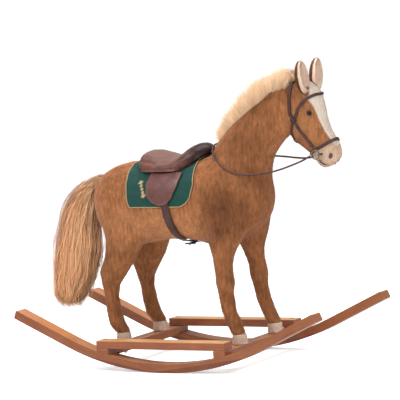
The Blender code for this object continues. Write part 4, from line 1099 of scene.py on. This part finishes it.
def leather_finish(name, light, dark, roughness=0.38, pebble=520.0, worn=False):
    """Waxed leather: fine pebbled grain and uneven dye. With worn set, the seat gets a painted highlight on
    its upward faces and painted shadow over the pommel.
    """
    material, tree, shader = new_finish(name, Coat_Weight=0.08, Coat_Roughness=0.26)
    shader.inputs["Specular IOR Level"].default_value = 0.35
    own = place(tree, (1.0, 1.0, 1.0))
    voronoi = add(tree, "ShaderNodeTexVoronoi", {"Vector": own, "Scale": pebble}, feature="DISTANCE_TO_EDGE")
    cells = voronoi.outputs["Distance"]
    dye = cloudy(tree, own, 34.0, 5.0, 0.6)
    scuffs = cloudy(tree, own, 160.0, 6.0, 0.7)
    colour = ramp(tree, dye, [(0.32, dark), (0.68, light)])
    scuffed = ramp(tree, scuffs, [(0.60, grey(0.0)), (0.78, grey(0.35))])
    colour = mix(tree, scuffed, colour, tuple(min(1, c * 1.7) for c in light))
    creased = ramp(tree, cells, [(0.0, grey(0.60)), (0.12, grey(1.0))])
    if worn:
        # Painted highlight on the seat's upward faces behind the pommel, and painted shadow darkening the
        # pommel.
        x_place = add(tree, "ShaderNodeSeparateXYZ", {"Vector": own}).outputs["X"]
        pommel = {"Value": x_place, "From Min": 0.020, "From Max": 0.065}
        ahead = add(tree, "ShaderNodeMapRange", pommel).outputs["Result"]
        on_top = {"Value": upward_share(tree), "From Min": 0.78, "From Max": 1.0, "To Max": 0.7}
        painted_top_highlight = add(tree, "ShaderNodeMapRange", on_top).outputs["Result"]
        painted_top_highlight = sum_up(tree, "MULTIPLY", painted_top_highlight, sum_up(tree, "SUBTRACT", 1.0, ahead))
        colour = mix(tree, painted_top_highlight, colour, (0.215, 0.115, 0.088))
        colour = mix(tree, ahead, colour, (0.20, 0.16, 0.15), "MULTIPLY")
        shader.inputs["Specular IOR Level"].default_value = 0.18
        shader.inputs["Coat Weight"].default_value = 0.03
    tree.links.new(mix(tree, 0.7, colour, creased, "MULTIPLY"), shader.inputs["Base Color"])
    gloss = {"Value": scuffs, "To Min": roughness * 0.8, "To Max": roughness * 1.35}
    spread = add(tree, "ShaderNodeMapRange", gloss)
    tree.links.new(spread.outputs["Result"], shader.inputs["Roughness"])
    height = sum_up(tree, "ADD", sum_up(tree, "MINIMUM", cells, 0.12), sum_up(tree, "MULTIPLY", scuffs, 0.08))
    raise_by(tree, shader, height, 0.35, 0.0012)
    return material


# The seat's leather carries painted highlight and painted shadow.
saddle_leather = leather_finish(
    "saddle_leather", (0.150, 0.058, 0.044), (0.060, 0.024, 0.019), 0.34, worn=True
)
flap_leather = leather_finish("flap_leather", (0.140, 0.048, 0.040), (0.078, 0.027, 0.023), 0.42, 430.0)
strap_leather = leather_finish("strap_leather", (0.070, 0.022, 0.016), (0.030, 0.010, 0.008), 0.48, 700.0)
panel_leather = leather_finish("panel_leather", (0.060, 0.026, 0.020), (0.028, 0.012, 0.010), 0.55, 500.0)
pale_thread = thread_finish("pale_thread", (0.42, 0.24, 0.18), (0.20, 0.10, 0.07))

SKIRT_EDGE_Z = 0.6302


def seat_shape(point):
    """The hollow of the seat, the pinch below the cantle roll and the swell of the knee roll."""
    x, y, z = point
    side = abs(y)
    out = -0.0004
    roll = (z - (0.6560 + 0.10 * max(0.0, -0.07 - x))) / 0.0055
    if x < -0.02 and side > 0.028:
        out -= 0.0024 * math.exp(-roll * roll) * float(soft_step(-x, 0.02, 0.06))
    groove = (z - SKIRT_EDGE_Z - 0.0065) / 0.0030
    out -= 0.0016 * math.exp(-(groove**2)) * float(soft_step(side, 0.030, 0.045))
    out += 0.0008 * noise.noise(point * 40)
    return out


bm = remeshed(merged_copy("saddle_seat"), 0.0018, 6)
swell(bm, seat_shape)
seat = make_piece(bm, "leather_seat", saddle_leather, nodes=("saddle_seat",), smooth=180.0)
bm = merged_copy("saddle_panel")
round_edges(bm, 0.0012, 2, 50.0)
make_piece(bm, "stuffed_panel", panel_leather, nodes=("saddle_panel",))

seat_surface = BVHTree.FromObject(seat, bpy.context.evaluated_depsgraph_get())


def round_the_seat(height, lift, steps=90):
    """Points round the seat's side at one height, clear of it by a lift."""
    found = []
    for number in range(steps):
        angle = math.tau * number / steps
        way = Vector((math.cos(angle) * 1.25, math.sin(angle), 0)).normalized()
        start = Vector((-0.030, 0.0, height)) + way * 0.25
        hit, normal, _, _ = seat_surface.ray_cast(start, -way, 0.25)
        if hit is not None:
            found.append(hit + Vector((normal.x, normal.y, 0)) * lift)
    return found


welt = round_the_seat(SKIRT_EDGE_Z, 0.0002)
welt_right = [point for point in welt if point.y < -0.012]
welt_left = [point for point in welt if point.y > 0.012]
for side, points in (("right", welt_right), ("left", welt_left)):
    tube_piece(f"skirt_welt_{side}", points, 0.0017, saddle_leather)


def stitch_row(name, points, surface, spacing, material, body="horse", long=0.0030, thick=0.0008):
    """Separate short stitches along a line, each lying on the surface."""
    rows = smooth_rows([tuple(point) for point in points], 8)
    steps = np.linalg.norm(np.diff(rows, axis=0), axis=1)
    run = np.concatenate([[0], np.cumsum(steps)])
    places = np.arange(spacing / 2, run[-1], spacing)
    bm = bmesh.new()
    for at in places:
        here, ahead = (
            Vector([float(np.interp(at + more, run, rows[:, k])) for k in range(3)]) for more in (0.0, 0.001)
        )
        hit, normal, _, _ = surface.find_nearest(here)
        way = (ahead - here).normalized()
        way = (way - normal * way.dot(normal)).normalized()
        made = bmesh.ops.create_icosphere(bm, subdivisions=1, radius=1.0)
        turn = Matrix((way, normal.cross(way), normal)).transposed()
        for vertex in made["verts"]:
            half = Vector((vertex.co.x * long, vertex.co.y * thick, vertex.co.z * thick)) / 2
            vertex.co = hit + turn @ half
    return make_piece(bm, name, material, body=body, smooth=180.0)


# ---------------------------------------------------------------------------
# The flaps: one thick piece of leather on each side, hung from under the seat so that it lifts,
# with a row of stitches inside its edge.
# ---------------------------------------------------------------------------

FLAP_OUTLINE = [
    (-0.0735, 0.6200), (-0.0820, 0.5900), (-0.0765, 0.5580), (-0.0575, 0.5367), (-0.0320, 0.5270),
    (-0.0080, 0.5322), (0.0105, 0.5500), (0.0265, 0.5860), (0.0345, 0.6200),
]
for side, sign in SIDES.items():
    body = f"flap_{side}"
    bm = merged_copy(f"saddle_flap_{side}")
    round_edges(bm, 0.0009, 2, 50.0)
    flap = make_piece(
        bm, f"leather_flap_{side}", flap_leather, body=body, nodes=(f"saddle_flap_{side}",)
    )
    surface = BVHTree.FromObject(flap, bpy.context.evaluated_depsgraph_get())
    line = [surface.ray_cast(Vector((x, sign * 0.3, z)), Vector((0, -sign, 0)))[0] for x, z in FLAP_OUTLINE]
    stitch_row(f"flap_stitches_{side}", line, surface, 0.0046, pale_thread, body=body)


# ---------------------------------------------------------------------------
# The girth: a leather strap under the belly, drawn tight, with a plated buckle. The spare end
# lies free beyond the buckle.
# ---------------------------------------------------------------------------

nickel = metal_finish("nickel_plated_steel", (0.20, 0.17, 0.145), 0.40, (60.0, 60.0, 60.0))
for node, name in (("girth_strap", "girth_band"), ("girth_free_end", "girth_loose_end")):
    bm = merged_copy(node)
    round_edges(bm, 0.0007, 2, 50.0)
    make_piece(bm, name, strap_leather, nodes=(node,))
PLATED = (("girth_buckle", "belly_buckle", "horse"), ("buckle_prong", "belly_buckle_prong", "prong"))
for node, name, body in PLATED:
    bm = merged_copy(node)
    make_piece(bm, name, nickel, body=body, nodes=(node,), smooth=60.0)


# ---------------------------------------------------------------------------
# The bridle: narrow leather straps sewn to each other at the cheeks, laid close on the face, with
# a round leather patch and a rosette over each crossing.
# ---------------------------------------------------------------------------

PATCH_RADIUS = 0.0125
PATCH_THICKNESS = 0.0016
PATCH_DEPTH = 0.0044
BRIDLE = ("headpiece_strap", "browband", "noseband", "throat_lash", "cheek_strap_left", "cheek_strap_right")
for node in BRIDLE:
    bm = merged_copy(node)
    swell(bm, 0.0005)
    round_edges(bm, 0.0006, 2, 50.0)
    make_piece(bm, f"leather_{node}", strap_leather, nodes=(node,))
for side, sign in SIDES.items():
    bm = merged_copy(f"rosette_{side}")
    low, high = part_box(f"rosette_{side}")
    middle = (low + high) / 2
    outward = Vector((0.0, sign, 0.0))
    flat_faces = [face for face in bm.faces if face.normal.dot(outward) > 0.8]
    outward = max(flat_faces, key=lambda face: face.calc_area()).normal.copy()
    round_edges(bm, 0.0006, 2, 30.0)
    make_piece(bm, f"cheek_rosette_{side}", strap_leather, nodes=(f"rosette_{side}",))
    bm = bmesh.new()
    bmesh.ops.create_cone(
        bm, cap_ends=True, segments=40, radius1=PATCH_RADIUS, radius2=PATCH_RADIUS, depth=PATCH_THICKNESS
    )
    turn = outward.to_track_quat("Z", "Y").to_matrix().to_4x4()
    bmesh.ops.transform(bm, verts=bm.verts, matrix=Matrix.Translation(middle - outward * PATCH_DEPTH) @ turn)
    round_edges(bm, 0.0004, 2, 50.0)
    make_piece(bm, f"cheek_patch_{side}", strap_leather)


# ---------------------------------------------------------------------------
# The bit: a nickel-plated steel mouthpiece that ends in two loose rings, which turn on it and
# hold the rein.
# ---------------------------------------------------------------------------

bm = merged_copy("bit_bar")
round_edges(bm, 0.0005, 2, 50.0)
make_piece(bm, "bit_mouthpiece", nickel, nodes=("bit_bar",))
for side in SIDES:
    low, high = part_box(f"bit_ring_{side}")
    wire = (high.y - low.y) / 2
    bm = ring_piece((low + high) / 2, (high.x - low.x) / 2 - wire, wire)
    make_piece(
        bm, f"loose_ring_{side}", nickel, body=f"bit_ring_{side}_body",
        nodes=(f"bit_ring_{side}",), smooth=180.0,
    )


# ---------------------------------------------------------------------------
# The rein: one round leather cord from ring to ring round the withers, hanging lower on the
# right.
# ---------------------------------------------------------------------------

REIN_RADIUS = 0.003
REIN_ROUTE = [
    (0.4890, -0.0500, 0.6640),
    (0.4600, -0.0520, 0.6500),
    (0.4200, -0.0560, 0.6360),
    (0.3800, -0.0610, 0.6240),
    (0.3400, -0.0680, 0.6160),
    (0.3000, -0.0770, 0.6120),
    (0.2600, -0.0860, 0.6130),
    (0.2200, -0.0885, 0.6220),
    (0.1850, -0.0865, 0.6400),
    (0.1560, -0.0765, 0.6620),
    (0.1350, -0.0580, 0.6830),
    (0.1230, -0.0320, 0.6990),
    (0.1190, 0.0000, 0.7050),
    (0.1230, 0.0320, 0.6990),
    (0.1370, 0.0580, 0.6850),
    (0.1620, 0.0750, 0.6700),
    (0.1980, 0.0820, 0.6600),
    (0.2400, 0.0830, 0.6540),
    (0.2840, 0.0780, 0.6520),
    (0.3280, 0.0700, 0.6500),
    (0.3700, 0.0620, 0.6470),
    (0.4120, 0.0560, 0.6460),
    (0.4540, 0.0520, 0.6520),
    (0.4890, 0.0500, 0.6640),
]
rein_points = smooth_rows(REIN_ROUTE, 6)
rein = tube_piece("round_rein", rein_points, REIN_RADIUS, strap_leather, nodes=("rein",))


# ---------------------------------------------------------------------------
# The face's needlework: nostrils in satin stitch and a mouth line in stem stitch, both in dark
# thread through the muzzle's plush.
# ---------------------------------------------------------------------------

MOUTH_LINE = [(0.5105, 0.6500), (0.5180, 0.6425), (0.5270, 0.6362), (0.5370, 0.6322), (0.5465, 0.6308)]
NOSTRIL_SLANT = Vector((0.45, 0.0, 0.9))
muzzle_thread = thread_finish("muzzle_thread", (0.085, 0.036, 0.034), (0.030, 0.013, 0.014))
face_surface = BVHTree.FromObject(body_skin, bpy.context.evaluated_depsgraph_get())
for side, sign in SIDES.items():
    hit, normal, _, _ = face_surface.find_nearest(Vector((0.5575, sign * 0.034, 0.6600)))
    bm = bmesh.new()
    bmesh.ops.create_uvsphere(bm, u_segments=20, v_segments=12, radius=1.0)
    slant = (NOSTRIL_SLANT - normal * NOSTRIL_SLANT.dot(normal)).normalized()
    turn = Matrix((slant, normal.cross(slant), normal)).transposed()
    for vertex in bm.verts:
        curl = 0.25 * vertex.co.x * vertex.co.x
        flat = Vector((vertex.co.x * 0.0095, (vertex.co.y + curl) * 0.0066, vertex.co.z * 0.0022 + 0.0024))
        vertex.co = hit + turn @ flat
    make_piece(bm, f"nostril_{side}", muzzle_thread, smooth=180.0)
    lip = []
    for x, z in MOUTH_LINE:
        hit, normal, _, _ = face_surface.ray_cast(Vector((x, sign * 0.2, z)), Vector((0, -sign, 0)))
        if hit is not None:
            lip.append(hit + normal * 0.0014)
    line = smooth_rows([tuple(point) for point in lip], 4)
    tube_piece(f"mouth_line_{side}", line, 0.0027, muzzle_thread)


# ---------------------------------------------------------------------------
# The studio: a plain white floor, a white surround, and broad soft lights from above and ahead.
# Floor and surround look brighter to the camera than they shine on the horse.
# ---------------------------------------------------------------------------

bm = bmesh.new()
bmesh.ops.create_grid(bm, x_segments=1, y_segments=1, size=14.0)
floor_mesh = bpy.data.meshes.new("studio_floor")
bm.to_mesh(floor_mesh)
bm.free()
floor = bpy.data.objects.new("studio_floor", floor_mesh)
bpy.context.scene.collection.objects.link(floor)
floor_white, tree, shader = new_finish("floor_white", Roughness=0.9)
shader.inputs["Base Color"].default_value = (0.90, 0.90, 0.90, 1.0)
shader.inputs["Emission Color"].default_value = (1.0, 1.0, 1.0, 1.0)
seen = add(tree, "ShaderNodeLightPath").outputs["Is Camera Ray"]
glow = add(tree, "ShaderNodeMapRange", {"Value": seen, "To Min": 0.0, "To Max": 0.50})
tree.links.new(glow.outputs["Result"], shader.inputs["Emission Strength"])
floor_mesh.materials.append(floor_white)

world = bpy.data.worlds.new("white_surround")
bpy.context.scene.world = world
world.use_nodes = True
tree = world.node_tree
seen = add(tree, "ShaderNodeLightPath").outputs["Is Camera Ray"]
strength = add(tree, "ShaderNodeMapRange", {"Value": seen, "To Min": 0.62, "To Max": 1.05})
tree.links.new(strength.outputs["Result"], tree.nodes["Background"].inputs["Strength"])
tree.nodes["Background"].inputs["Color"].default_value = (1.0, 1.0, 1.0, 1.0)
bpy.context.scene.view_settings.view_transform = "Standard"


def soft_light(name, where, target, size, power):
    """A round light, aimed at the target."""
    data = bpy.data.lights.new(name, "AREA")
    data.shape = "DISK"
    data.size = size
    data.energy = power
    light = bpy.data.objects.new(name, data)
    light.location = where
    light.rotation_euler = (Vector(target) - Vector(where)).to_track_quat("-Z", "Y").to_euler()
    bpy.context.scene.collection.objects.link(light)


soft_light("key_light", (-0.5, -2.2, 3.0), (0.0, 0.0, 0.4), 1.6, 85.0)
soft_light("top_light", (0.3, 0.6, 3.4), (0.0, 0.0, 0.4), 2.4, 80.0)
soft_light("front_light", (2.6, -1.6, 1.5), (0.45, 0.0, 0.75), 1.5, 28.0)
